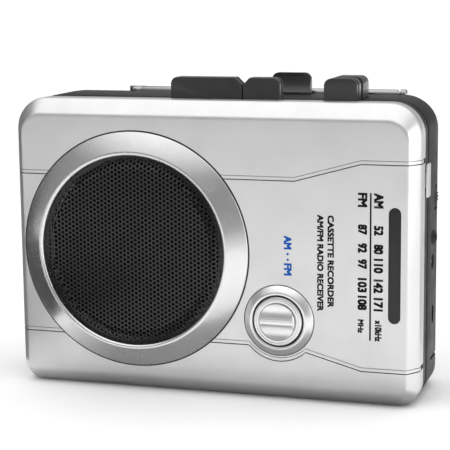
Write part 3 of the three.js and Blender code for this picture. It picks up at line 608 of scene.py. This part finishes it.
def build_rear():
    shell = bare_object("rear_case", rear_outer())
    room = inset(SIDE, WALL)
    boolean(shell, skin([ring_at(13, room), ring_at(31, room)]))
    boolean(shell, block(-56.2, 56.2, 30.5, 33.9, WALL, 79.9), block(-70, 70, 31.5, 40, 9.6, 79.9))
    lug = arc(*DOOR_HINGE, 1.5, 0, 180, 10) + [(32.3, 5), (35.3, 5)]
    for side in (-1, 1):
        post = block(*sorted((side * 49, side * 57.4)), 20.2, 34.5, 1.5, 9.3)
        boolean(shell, post, slab("x", lug, *sorted((side * 56, side * 57.4))), operation="UNION")
    boolean(shell, rear_outer(0.01), operation="INTERSECT")
    wheel_x, wheel_z, wheel_r, wheel_front, wheel_back = TUNING
    scoop = rod("y", wheel_x, wheel_z, wheel_r + 0.4, wheel_front - GAP, wheel_back + GAP, 64)
    mouth = [(0, 54), (2.1, 54), (2.1, 58.6), (2.7, 59.5), (0, 59.5)]
    sockets = (rod("x", *REMOTE_SOCKET, 2.2, 54, 61), turned("x", *EARPHONE_SOCKET, mouth, 48),
               slab("x", stadium(*MICROPHONE), 54, 61))
    keys = merged(key_slot("record_key", "record_key", 13, 23.6),
                  key_slot("stop_eject_key", "stop_eject_key", 27, 30.9))
    rabbet = block(ANTENNA_X - 2.9, 51.5, 31.6, 40, 81.7, 85)
    seat = block(ANTENNA_X - 2.6, ANTENNA_X + 2.6, 34.5, 40, 79, 83.6)
    hatch = (block(-HATCH_SLOT_X, HATCH_SLOT_X, 13, 20, -1, 2),
             block(-48.7, -46.5, 18.2, 19.8, -1.5, 1.55), block(46.5, 48.7, 18.2, 19.8, -1.5, 1.55))
    lines = merged(block(-60, -58.2, 20.6, 34, 9.1, 10), block(58.2, 60, 20.6, 34, 9.1, 10))
    bore = [(0, 19), (1.4, 19), (1.4, 34.2), (2.5, 34.2), (2.8, 37), (0, 37)]
    screw_x, screw_z = CASE_SCREW
    screws = merged(*[turned("y", side * screw_x, screw_z, bore, 40) for side in (-1, 1)])
    pin = rod("x", *DOOR_HINGE, 1, -57.9, 57.9)
    boolean(shell, scoop, *sockets, keys, rabbet, seat, *hatch, lines, screws, pin)
    return finished(shell, "charcoal_plastic", stands_for=["rear_shell"], crease=30)


# ---- Loudspeaker ring and grille ------------------------------------------------------------------

def build_ring():
    profile = eased([(RING_R, 0.3), (RING_R, -0.35), (28.45, -3.02), (28.1, -3.2), (27.5, -3.2),
                     (27, -2.75), (27, 0.9), (25.6, 0.9), (25.6, 2.5), (28.2, 2.5), (28.2, 0.3)], 0.22, 3)
    piece("speaker_ring", turned("y", *SPEAKER, profile, 256), "satin_metal",
          stands_for=["speaker_bezel"], material=RING_METAL, crease=50)


PITCH = 1.27
HOLE_R = 0.45
HOLE_CHAMFER = 0.06
GRILLE_EDGE = 26.85
GRILLE_BEND = 23.9
GRILLE_SHEET = 0.4


def grille_depth(radius):
    """Depth of the grille's face: flat, then a tight bend, then a slope to its edge."""
    flat, bend, slope = -2.55, 0.7, 0.5
    past = radius - GRILLE_BEND
    bead = 0.3 * math.exp(-(past / 0.4) ** 2)
    if past < -bend:
        return flat - bead
    if past < bend:
        return flat - bead + slope * (past + bend) ** 2 / (4 * bend)
    return flat - bead + slope * past


def hole_centres():
    """Centres of a hexagonal lattice with a row along Z, out to the edge of the grille."""
    reach = int(GRILLE_EDGE / PITCH) + 2
    centres = []
    for i in range(-2 * reach, 2 * reach + 1):
        for j in range(-2 * reach, 2 * reach + 1):
            x, z = i * PITCH * math.sqrt(3) / 2, (j + (i % 2) / 2) * PITCH
            if math.hypot(x, z) < GRILLE_EDGE - 0.64:
                centres.append((x, z))
    return centres


def build_grille():
    """A sheet with a round hole in each cell, a small chamfer on each hole, a back and an edge."""
    sides = 12
    index, verts, faces, under = {}, [], [], {}
    angles = [math.radians(30 * k) for k in range(sides)]

    def vertex(x, z, depth):
        radius = math.hypot(x, z)
        if radius > GRILLE_EDGE:
            x, z = x * GRILLE_EDGE / radius, z * GRILLE_EDGE / radius
        key = (round(x, 5), round(z, 5), depth)
        if key not in index:
            index[key] = len(verts)
            y = grille_depth(min(radius, GRILLE_EDGE)) + depth
            verts.append((SPEAKER[0] + x, y, SPEAKER[1] + z))
        return index[key]

    cell = [PITCH / math.sqrt(3) if k % 2 == 0 else PITCH / 2 for k in range(sides)]
    hole = [HOLE_R] * sides
    rings = [(cell, 0), ([HOLE_R + HOLE_CHAMFER] * sides, 0), (hole, HOLE_CHAMFER), (hole, GRILLE_SHEET),
             (cell, GRILLE_SHEET)]
    for cx, cz in hole_centres():
        loops = []
        for reach, depth in rings:
            rim = [(cx + r * math.cos(a), cz + r * math.sin(a)) for r, a in zip(reach, angles)]
            loops.append([vertex(x, z, depth) for x, z in rim])
        under.update(zip(loops[0], loops[-1]))
        for here, there in zip(loops, loops[1:]):
            for k in range(sides):
                n = (k + 1) % sides
                face = tuple(dict.fromkeys((here[k], here[n], there[n], there[k])))
                if len(face) > 2:
                    faces.append(face)
    shared = {}
    for face in faces:
        for a, b in zip(face, face[1:] + face[:1]):
            if a in under and b in under:
                shared.setdefault(frozenset((a, b)), []).append((a, b))
    faces += [(b, a, under[a], under[b]) for (a, b), *others in shared.values() if not others]
    piece("grille_sheet", (verts, faces), "grille_metal", stands_for=["speaker_grille"], crease=25)
    deep = grille_depth(26.2)
    hoop = [(26.95, 0.8), (26.95, deep + 0.5), (25.4, deep + 0.1), (25.4, deep + 0.45), (26, 0.8)]
    piece("grille_rim", turned("y", *SPEAKER, hoop, 160), "grille_metal")
    cloth = eased([(0.0, 1.4), (26.6, 1.2), (26.6, 1.9), (0, 2.2)], 0.2, 2, closed=False)
    piece("dust_cloth", turned("y", *SPEAKER, cloth, 96), "cone_paper")


# ---- Band selector --------------------------------------------------------------------------------

def build_selector():
    x, z = SELECTOR
    bezel = eased([(9.9, 0.35), (9.9, -0.15), (8.15, -1.42), (7.75, -1.5), (7.3, -1.3), (7.25, 0.35)],
                  0.2, 3)
    piece("selector_ring", turned("y", x, z, bezel, 128), "satin_metal",
          stands_for=["selector_bezel"], material=SELECTOR_METAL, crease=50)
    face = -2.75
    profile = eased([
        (0, face), (4.8, face), (5.05, -2.45), (5.05, -0.9), (5.35, -0.9), (5.35, -1.75), (5.95, -1.75),
        (5.98, -1.55), (6.12, -1.55), (6.15, -1.72), (6.75, -1.6), (6.9, -1.2), (6.9, -0.1),
        (1.8, -0.1), (1.8, 4.6), (0, 4.6)], 0.12, 3, closed=False)
    knob = bare_object("selector_knob", turned("y", x, z, profile, 128))
    boolean(knob, *[rod("x", face - 4.35, z + dz, 5, x - 4.55, x + 4.55, 96) for dz in (-3.05, 3.05)])
    grip = bare_object("selector_grip", block(x - 4.5, x + 4.5, -3.2, -2.3, z - 0.62, z + 0.62))
    soften(grip, 0.14, 3)
    finished(grip, "satin_metal", body="band_knob", material=SELECTOR_METAL)
    finished(knob, "satin_metal", body="band_knob", stands_for=["band_knob"],
             material=SELECTOR_METAL, crease=38)


# ---- Printed scales -------------------------------------------------------------------------------

def lettering(text, x_low, x_high, z_high, z_low):
    """Raised ink reading down the face, fitted between two heights and two x places."""
    curve = bpy.data.curves.new("text", "FONT")
    curve.body = text
    curve.resolution_u = 3
    curve.extrude = 0.02
    holder = bpy.data.objects.new("text", curve)
    bpy.context.scene.collection.objects.link(holder)
    bpy.context.view_layer.update()
    mesh = bpy.data.meshes.new_from_object(holder.evaluated_get(bpy.context.evaluated_depsgraph_get()))
    bpy.data.objects.remove(holder)
    points = np.array([v.co for v in mesh.vertices])
    low, high = points.min(0), points.max(0)
    share = (points - low) / (high - low)
    xs = x_low + share[:, 1] * (x_high - x_low)
    zs = z_high - share[:, 0] * (z_high - z_low)
    ys = -0.045 * share[:, 2] + 0.01
    faces = [tuple(face.vertices) for face in mesh.polygons]
    return list(zip(xs, ys, zs)), faces


def bold(text, x_low, x_high, z_high, z_low, weight):
    """The same lettering made heavier by four copies, each a hair prouder than the last."""
    w = weight / 2
    verts, faces = lettering(text, x_low + w, x_high - w, z_high - w, z_low + w)
    shifts = [(-w, -0.002, -w), (-w, -0.004, w), (w, -0.006, -w), (w, -0.008, w)]
    copies = [([(x + dx, y + dy, z + dz) for x, y, z in verts], faces) for dx, dy, dz in shifts]
    return merged(*copies)


def build_print():
    am, fm = (46.9, 49.5), (42.5, 45.05)
    heavy, light, thin = 0.3, 0.21, 0.2
    rows = [
        ("AM", *am, 59.6, 55.5, heavy), ("52", *am, 50.8, 48.1, heavy), ("80", *am, 45.7, 43, heavy),
        ("110", *am, 41.8, 37.8, heavy), ("142", *am, 36.1, 32.3, heavy), ("171", *am, 31, 27.3, heavy),
        ("x10kHz", 47.3, 49.2, 24.8, 18.9, thin), ("FM", *fm, 59.6, 55.7, heavy),
        ("87", *fm, 51, 48.2, heavy), ("92", *fm, 45.9, 43.2, heavy), ("97", *fm, 41.5, 38.8, heavy),
        ("103", *fm, 36.3, 32.3, heavy), ("108", *fm, 31.4, 27.4, heavy), ("MHz", 42.6, 44.2, 24.8, 21, thin),
        ("CASSETTE RECORDER", 34.1, 35.9, 53.1, 27.6, light),
        ("AM/FM RADIO RECEIVER", 31.2, 33, 53.2, 26.4, light),
    ]
    solids = [bold(*row) for row in rows]
    solids.append(block(SCALE_X - 0.23, SCALE_X + 0.23, -0.035, 0.01, 19, 59.6))
    piece("scale_print", merged(*solids), "black_plastic", material=INK_BLACK)
    dots = [rod("y", 22.9, z, 0.33, -0.035, 0.01, 20) for z in (41.9, 40.3)]
    bands = [bold("AM", 21.8, 24, 47, 43.2, 0.26), bold("FM", 21.8, 24, 39.3, 35.9, 0.26)]
    piece("band_print", merged(*bands, *dots), "black_plastic", material=INK_BLUE)


def build_dial():
    x, low, high, width = WINDOW
    pane = stadium(x, low + 0.06, high - 0.06, width - 0.12)
    lens = bare_object("dial_lens", slab("y", pane, 0.16, 1.7))
    soften(lens, 0.15, 3)
    finished(lens, "smoked_plastic", stands_for=["dial_window"], material=WINDOW_INSERT)


# ---- Keys -----------------------------------------------------------------------------------------

def key_outline(x0, x1, low, top, left, right, size=2.0):
    """Front view of a key: each top corner is round or cut at 45 degrees."""
    right_corner = [(x1, top - size), (x1 - size, top)]
    if right == "round":
        right_corner = arc(x1 - size, top - size, size, 0, 90, 8)
    left_corner = [(x0 + size, top), (x0, top - size)]
    if left == "round":
        left_corner = arc(x0 + size, top - size, size, 90, 180, 8)
    return [(x0, low), (x1, low)] + right_corner + left_corner


def key_piece(node, solids, cuts=()):
    key = bare_object(node + "_cap", solids[0])
    for solid in solids[1:]:
        boolean(key, solid, operation="UNION")
    for solid in cuts:
        boolean(key, solid)
    soften(key, 0.28, 3, 35)
    return finished(key, "key_plastic", body=node, stands_for=[node])


def build_keys():
    for name, left, right in (("play_key", "round", "cut"), ("fast_forward_key", "cut", "round")):
        x0, x1 = KEYS[name]
        blade = slab("y", key_outline(x0, x1, 79, KEY_TOP, left, right), 8.3, 12.3)
        wide = (x0 - 0.8 * (left == "round"), x1 + 0.8 * (right == "round"))
        foot = block(*wide, 7.6, 13, 79, 80.8)
        key_piece(name, [blade, foot], [block(x0 - 2, x1 + 2, 10.5, 11.35, 84.4, 95)])
    x0, x1 = KEYS["record_key"]
    crest = key_outline(x0, x1, 82, KEY_TOP, "round", "round")
    ribs = [slab("y", crest, y0, y1) for y0, y1 in RECORD_RIBS]
    base = [block(x0, x1, 8.3, 23.3, 79.2, 83.1), block(x0 - 0.8, x1 + 0.8, 7.6, 24, 79.2, 80.6)]
    key_piece("record_key", base + ribs)
    x0, x1 = KEYS["stop_eject_key"]
    fin = slab("y", key_outline(x0, x1, 79, 89.5, "round", "round"), 27.3, 30.6)
    foot = block(x0 - 0.8, x1 + 0.8, 27.3, 30.6, 79, 80.8)
    key_piece("stop_eject_key", [fin, foot], [rod("x", 27.3 - 5.4, 88.4, 7, x0 - 1, x1 + 1, 96)])


# ---- Side controls --------------------------------------------------------------------------------

def knurled_wheel(x, z, radius, front, back, teeth=44):
    """A thumb wheel whose rim is cut into fine teeth."""
    def outline(y, reach, depth):
        points = []
        for i in range(4 * teeth):
            r = reach - depth * (0, 0, 1, 1)[i % 4]
            angle = 2 * math.pi * i / (4 * teeth)
            points.append((x + r * math.cos(angle), y, z + r * math.sin(angle)))
        return points
    return skin([outline(front, radius - 0.5, 0.05), outline(front + 0.3, radius - 0.02, 0.28),
                 outline(back - 0.3, radius - 0.02, 0.28), outline(back, radius - 0.5, 0.05)])


def build_side_controls():
    wheels = ("tuning_wheel", TUNING, 20.9), ("volume_wheel", VOLUME, 8.2)
    for node, (x, z, radius, front, back), shaft in wheels:
        spindle = rod("y", x, z, 1.5, shaft, front + 0.2)
        wheel = merged(knurled_wheel(x, z, radius, front, back), spindle)
        piece(node + "_rim", wheel, "wheel_plastic", body=node, stands_for=[node], crease=40)
    mid, height, front, back = SLIDER
    low, high = mid - height / 2, mid + height / 2
    cap_outline = eased(rectangle(front, back, low, high), 0.9, 6)
    cap = bare_object("function_cap", slab("x", cap_outline, HALF_X + 0.1, HALF_X + 0.74))
    soften(cap, 0.16, 3)
    boolean(cap, block(55, HALF_X + 0.3, 10.5, 12.6, mid - 1.85, mid + 1.85), operation="UNION")
    finished(cap, "satin_metal", body="function_slider", stands_for=["function_slider"],
             material=MATERIALS["silver_plastic"])
    collar = [(1.3, 50), (1.3, 59.25), (1.48, 59.68), (1.74, 59.68), (1.92, 59.4), (1.92, 50)]
    piece("socket_collar", turned("x", *REMOTE_SOCKET, collar, 64), "black_plastic")
    sleeve = [(1.8, 50), (1.8, 58.1), (2.05, 58.3), (2.05, 50)]
    piece("socket_sleeve", turned("x", *EARPHONE_SOCKET, sleeve, 64), "chrome")
    y, low, high, width = MICROPHONE
    gauze = slab("x", stadium(y, low + 0.06, high - 0.06, width - 0.12), 57.7, 58.1)
    dimples = []
    for i in range(7):
        for side in (-1, 1):
            dimple_z = low + 0.5 + 0.66 * i + 0.33 * (side > 0)
            dimples.append(rod("x", y + side * 0.38, dimple_z, 0.22, 57.95, 59, 16))
    finished(boolean(bare_object("microphone_gauze", gauze), *dimples), "black_plastic")


# ---- Tape door, hatch, screws ---------------------------------------------------------------------

def build_door():
    hinge_y, hinge_z = DOOR_HINGE
    door = bare_object("tape_door", rear_outer())
    boolean(door, block(-70, 70, 31.8, 40, 14, 79.6), operation="INTERSECT")
    boolean(door, slab("y", case_outline(54.6, 15.3, 78.4, 0.5, 6), 30, 33.9),
            block(-70, 70, 30, 33.9, 13, 14.5))
    boolean(door, block(-55.6, 55.6, 33.9, BACK_Y - 0.02, hinge_z, 14.4), operation="UNION")
    boolean(door, rod("x", hinge_y, hinge_z, 1.88, -55.6, 55.6, 64), operation="UNION")
    catch = block(12, 20, 31.9, 34.5, 77.6, 79), block(12, 20, 31.9, 32.6, 76.4, 78.9)
    boolean(door, *catch, operation="UNION")
    boolean(door, rod("x", hinge_y, hinge_z, 1, -60, 60))
    boolean(door, slab("y", eased(rectangle(*DOOR_WINDOW, 3), 2.5, 6), BACK_Y - 0.45, 40))
    boolean(door, slab("y", eased(rectangle(*DOOR_WINDOW), 1.2, 6), 30, 40))
    for z in (66, 68.4, 70.8, 73.2):
        boolean(door, slab("y", eased(rectangle(-46, 46, z, z + 0.9), 0.4, 3), BACK_Y - 0.35, 40))
    boolean(door, slab("y", eased(rectangle(-46, 46, 17.5, 18.1), 0.25, 3), BACK_Y - 0.3, 40))
    finished(door, "charcoal_plastic", body="cassette_door", stands_for=["cassette_door"], crease=30)
    pane = eased(rectangle(*DOOR_WINDOW, -0.2), 1.1, 6)
    glass = bare_object("door_pane", slab("y", pane, 33.3, BACK_Y - 0.5))
    soften(glass, 0.25, 3)
    finished(glass, "smoked_plastic", body="cassette_door", stands_for=["door_window"])


def build_hatch():
    outline = [(9.2, 1.5), (9.2, 0.25), (9.45, 0)] + arc(18.95, 0.75, 0.75, -90, 90, 10)
    hatch = bare_object("battery_hatch", slab("x", outline, -47, 47))
    boolean(hatch, rod("x", 18.95, 0.75, 0.45, -48.3, 48.3, 24), operation="UNION")
    grips = [slab("x", [(y, -0.5), (y + 0.5, -0.5), (y + 0.25, 0.3)], -8, 8)
             for y in (11, 12.2, 13.4, 14.6)]
    boolean(hatch, merged(*grips))
    finished(hatch, "charcoal_plastic", body="battery_door", stands_for=["battery_door"])


def build_screws():
    screw_x, screw_z = CASE_SCREW
    places = {"case_screw_1": (-screw_x, screw_z, 9, 34.5), "case_screw_2": (screw_x, screw_z, 9, 34.5),
              "deck_screw_1": (-53.5, 54, 9, 18.5), "deck_screw_2": (51.5, 73.5, 9, 18.5)}
    shank, head, rise = 1.1, 2.15, 0.9
    for node, (x, z, tip, seat) in places.items():
        profile = [(0, tip), (0.6, tip), (shank, tip + 1.5), (shank, seat), (head, seat)]
        profile += [(head * math.cos(t), seat + rise * math.sin(t) ** 0.7) for t in (0.35, 0.8, 1.2)]
        profile.append((0, seat + rise))
        screw = bare_object(node + "_body", turned("y", x, z, profile, 32))
        for arm_x, arm_z in ((1.3, 0.22), (0.22, 1.3)):
            boolean(screw, block(x - arm_x, x + arm_x, seat + 0.35, seat + 2, z - arm_z, z + arm_z))
        finished(screw, "steel", stands_for=[node])


# ---- Telescopic aerial ----------------------------------------------------------------------------

def build_aerial():
    y, z = ANTENNA
    knuckle = [(1.3 * math.sin(t), ANTENNA_X - 1.3 * math.cos(t)) for t in (0, 0.3, 0.6, 0.9, 1.2, 1.5)]
    tube_path = knuckle + [(1.3, ANTENNA_X + 2.1), (1.2, ANTENNA_X + 2.3), (1.3, ANTENNA_X + 2.5),
                           (1.3, 46.3), (1.15, 46.8), (0.95, 46.8), (0.95, -26.5), (0, -26.5)]
    tube = bare_object("aerial_tube", turned("x", y, z, tube_path, 48))
    boolean(tube, rod("y", ANTENNA_X, z, 0.8, 30, 37, 32))
    finished(tube, "chrome", body="antenna_tube", stands_for=["antenna_tube"], crease=40)
    middle = [(0, -24), (0.72, -24), (0.72, 46.8), (0.66, 47.05), (0.5, 47.05),
              (0.5, -22.5), (0, -22.5)]
    piece("aerial_middle", turned("x", y, z, middle, 40), "chrome", body="antenna_middle",
          stands_for=["antenna_middle"])
    tip = [(0, -21), (0.28, -21), (0.28, 47.4), (1.1, 47.4), (1.35, 47.6), (1.4, 47.9),
           (1.4, 48.7), (1.3, 49.05), (1.0, 49.28), (0, 49.3)]
    piece("aerial_tip", turned("x", y, z, tip, 48), "chrome", body="antenna_tip",
          stands_for=["antenna_tip"])


# ---- The rest of the CAD nodes --------------------------------------------------------------------

def dress_cad_nodes():
    """Every CAD node that is still shown gets the material of its slot, and smooth curves."""
    slots = {entry["node"]: entry["material_slot"] for entry in frame["record"]["subparts"]}
    for name, obj in frame["nodes"].items():
        if obj.hide_render:
            continue
        obj.data.materials.clear()
        obj.data.materials.append(MATERIALS[slots[name]])
        obj.data.polygons.foreach_set("use_smooth", [True] * len(obj.data.polygons))
        obj.data.set_sharp_from_angle(angle=math.radians(32))


# ---- Room -----------------------------------------------------------------------------------------

def build_floor():
    """White paper underneath, and a pale round wall far behind that only the camera sees."""
    size, underside = 30000, -4
    floor = bare_object("floor", block(-size, size, -size, size, underside, -0.02))
    r = Recipe("floor_paper", (0.94, 0.94, 0.94), 0.8)
    r.tint(r.noise(60, 3), 0.985, 1.01).bump(r.noise(0.8, 2), 0.04, 0.05)
    floor.data.materials.append(r.material)
    near, far, top = 7000, 7100, 6000
    section = [(near, underside), (near, top), (far, top), (far, underside)]
    wall = bare_object("backdrop", turned("z", 0, 0, section, 96))
    wall.visible_diffuse = wall.visible_glossy = wall.visible_shadow = False
    r = Recipe("backdrop_paper", (0.94, 0.94, 0.94), 0.8,
               Emission_Color=(1, 1, 1, 1), Emission_Strength=0.35)
    r.tint(r.noise(900, 3), 0.985, 1.01)
    wall.data.materials.append(r.material)


def flag(name, solid, shade, fade=None):
    """A matt board of the studio that only mirror-like surfaces pick up.

    `fade` is (x, x, times): between the two x it darkens from `times` its shade to its shade.
    """
    board = bare_object(name, solid)
    r = Recipe(name, (shade, shade, shade), 0.9)
    if fade:
        split = r.nodes.new("ShaderNodeSeparateXYZ")
        r.links.new(r.place, split.inputs[0])
        bright_x, dark_x, times = fade
        r.tint(split.outputs["X"], 1, times, dark_x * MM, bright_x * MM)
    else:
        r.tint(r.noise(40, 2), 0.95, 1.05)
    board.data.materials.append(r.material)
    board.visible_camera = board.visible_diffuse = board.visible_shadow = False


def area_light(name, place, aim, size, power):
    data = bpy.data.lights.new(name, "AREA")
    data.shape = "RECTANGLE"
    data.size, data.size_y = size[0] * MM, size[1] * MM
    data.energy = power
    light = bpy.data.objects.new(name, data)
    light.location = Vector(place) * MM
    light.rotation_mode = "QUATERNION"
    light.rotation_quaternion = (Vector(aim) - Vector(place)).to_track_quat("-Z", "Y")
    bpy.context.scene.collection.objects.link(light)
    return light


def overhead_glow(strength):
    """The rest of the ceiling's light, which is too dim a surface to be seen in the metal."""
    data = bpy.data.lights.new("overhead_glow", "SUN")
    data.energy, data.angle = strength, math.radians(100)
    light = bpy.data.objects.new("overhead_glow", data)
    light.visible_glossy = False
    bpy.context.scene.collection.objects.link(light)


HORIZON = 0.3
ZENITH = 1.35


def build_world():
    """An overhead softbox as wide as the room: bright above, greyer towards the horizon."""
    world = bpy.data.worlds.new("studio")
    world.use_nodes = True
    nodes, links = world.node_tree.nodes, world.node_tree.links
    place = nodes.new("ShaderNodeTexCoord")
    split = nodes.new("ShaderNodeSeparateXYZ")
    links.new(place.outputs["Generated"], split.inputs[0])
    rise = nodes.new("ShaderNodeMapRange")
    rise.interpolation_type = "SMOOTHSTEP"
    limits = {"From Min": 0.48, "From Max": 0.9, "To Min": HORIZON, "To Max": ZENITH}
    for socket, value in limits.items():
        rise.inputs[socket].default_value = value
    links.new(split.outputs["Z"], rise.inputs["Value"])
    nodes["Background"].inputs["Color"].default_value = (1, 1, 1, 1)
    links.new(rise.outputs["Result"], nodes["Background"].inputs["Strength"])
    bpy.context.scene.world = world
    bpy.context.scene.view_settings.view_transform = "Standard"


def build_light():
    middle = (-10, 0, 45)
    front_box = area_light("front_top_left", (-290, -560, 640), middle, (620, 440), 0.9)
    front_box.visible_glossy = False
    area_light("right_box", (560, -60, 150), middle, (260, 300), 0.6)
    overhead_glow(0.95)
    flag("left_flag", block(-420, -400, -60, 700, 0, 420), 0.03)
    flag("low_flag", block(-420, -75, -160, 700, 0.3, 0.8), 0.05)
    flag("foot_flag", block(-64, 62, -20, 14, 0.3, 0.8), 0.33, (-64, -34, 2.4))
    flag("side_flag", block(75, 420, 60, 900, 0.3, 0.8), 0.45)
    flag("far_flag", block(-900, 900, -1800, -340, 0.3, 0.8), 0.45)
    build_world()


def build_camera():
    """The photograph's viewing angle."""
    place, yaw, pitch, roll, lens = (130.06, -390.98, 118.79), 17.743, 9.616, -0.604, 120.33
    yaw, pitch, roll = map(math.radians, (yaw, pitch, roll))
    level = math.cos(pitch)
    forward = Vector((-math.sin(yaw) * level, math.cos(yaw) * level, -math.sin(pitch)))
    right = Vector((math.cos(yaw), math.sin(yaw), 0))
    up = right.cross(forward)
    rolled_right = right * math.cos(roll) + up * math.sin(roll)
    rolled_up = up * math.cos(roll) - right * math.sin(roll)
    data = bpy.data.cameras.new("camera")
    data.lens, data.sensor_width = lens, 36
    data.clip_start, data.clip_end = 0.01, 50
    camera = bpy.data.objects.new("camera", data)
    turn = Matrix((rolled_right, rolled_up, -forward)).transposed().to_4x4()
    camera.matrix_world = Matrix.Translation(placed(place)) @ turn
    bpy.context.scene.collection.objects.link(camera)
    bpy.context.scene.camera = camera


build_camera()
build_front()
build_rear()
build_ring()
build_grille()
build_selector()
build_print()
build_dial()
build_keys()
build_side_controls()
build_door()
build_hatch()
build_screws()
build_aerial()
dress_cad_nodes()
build_floor()
build_light()
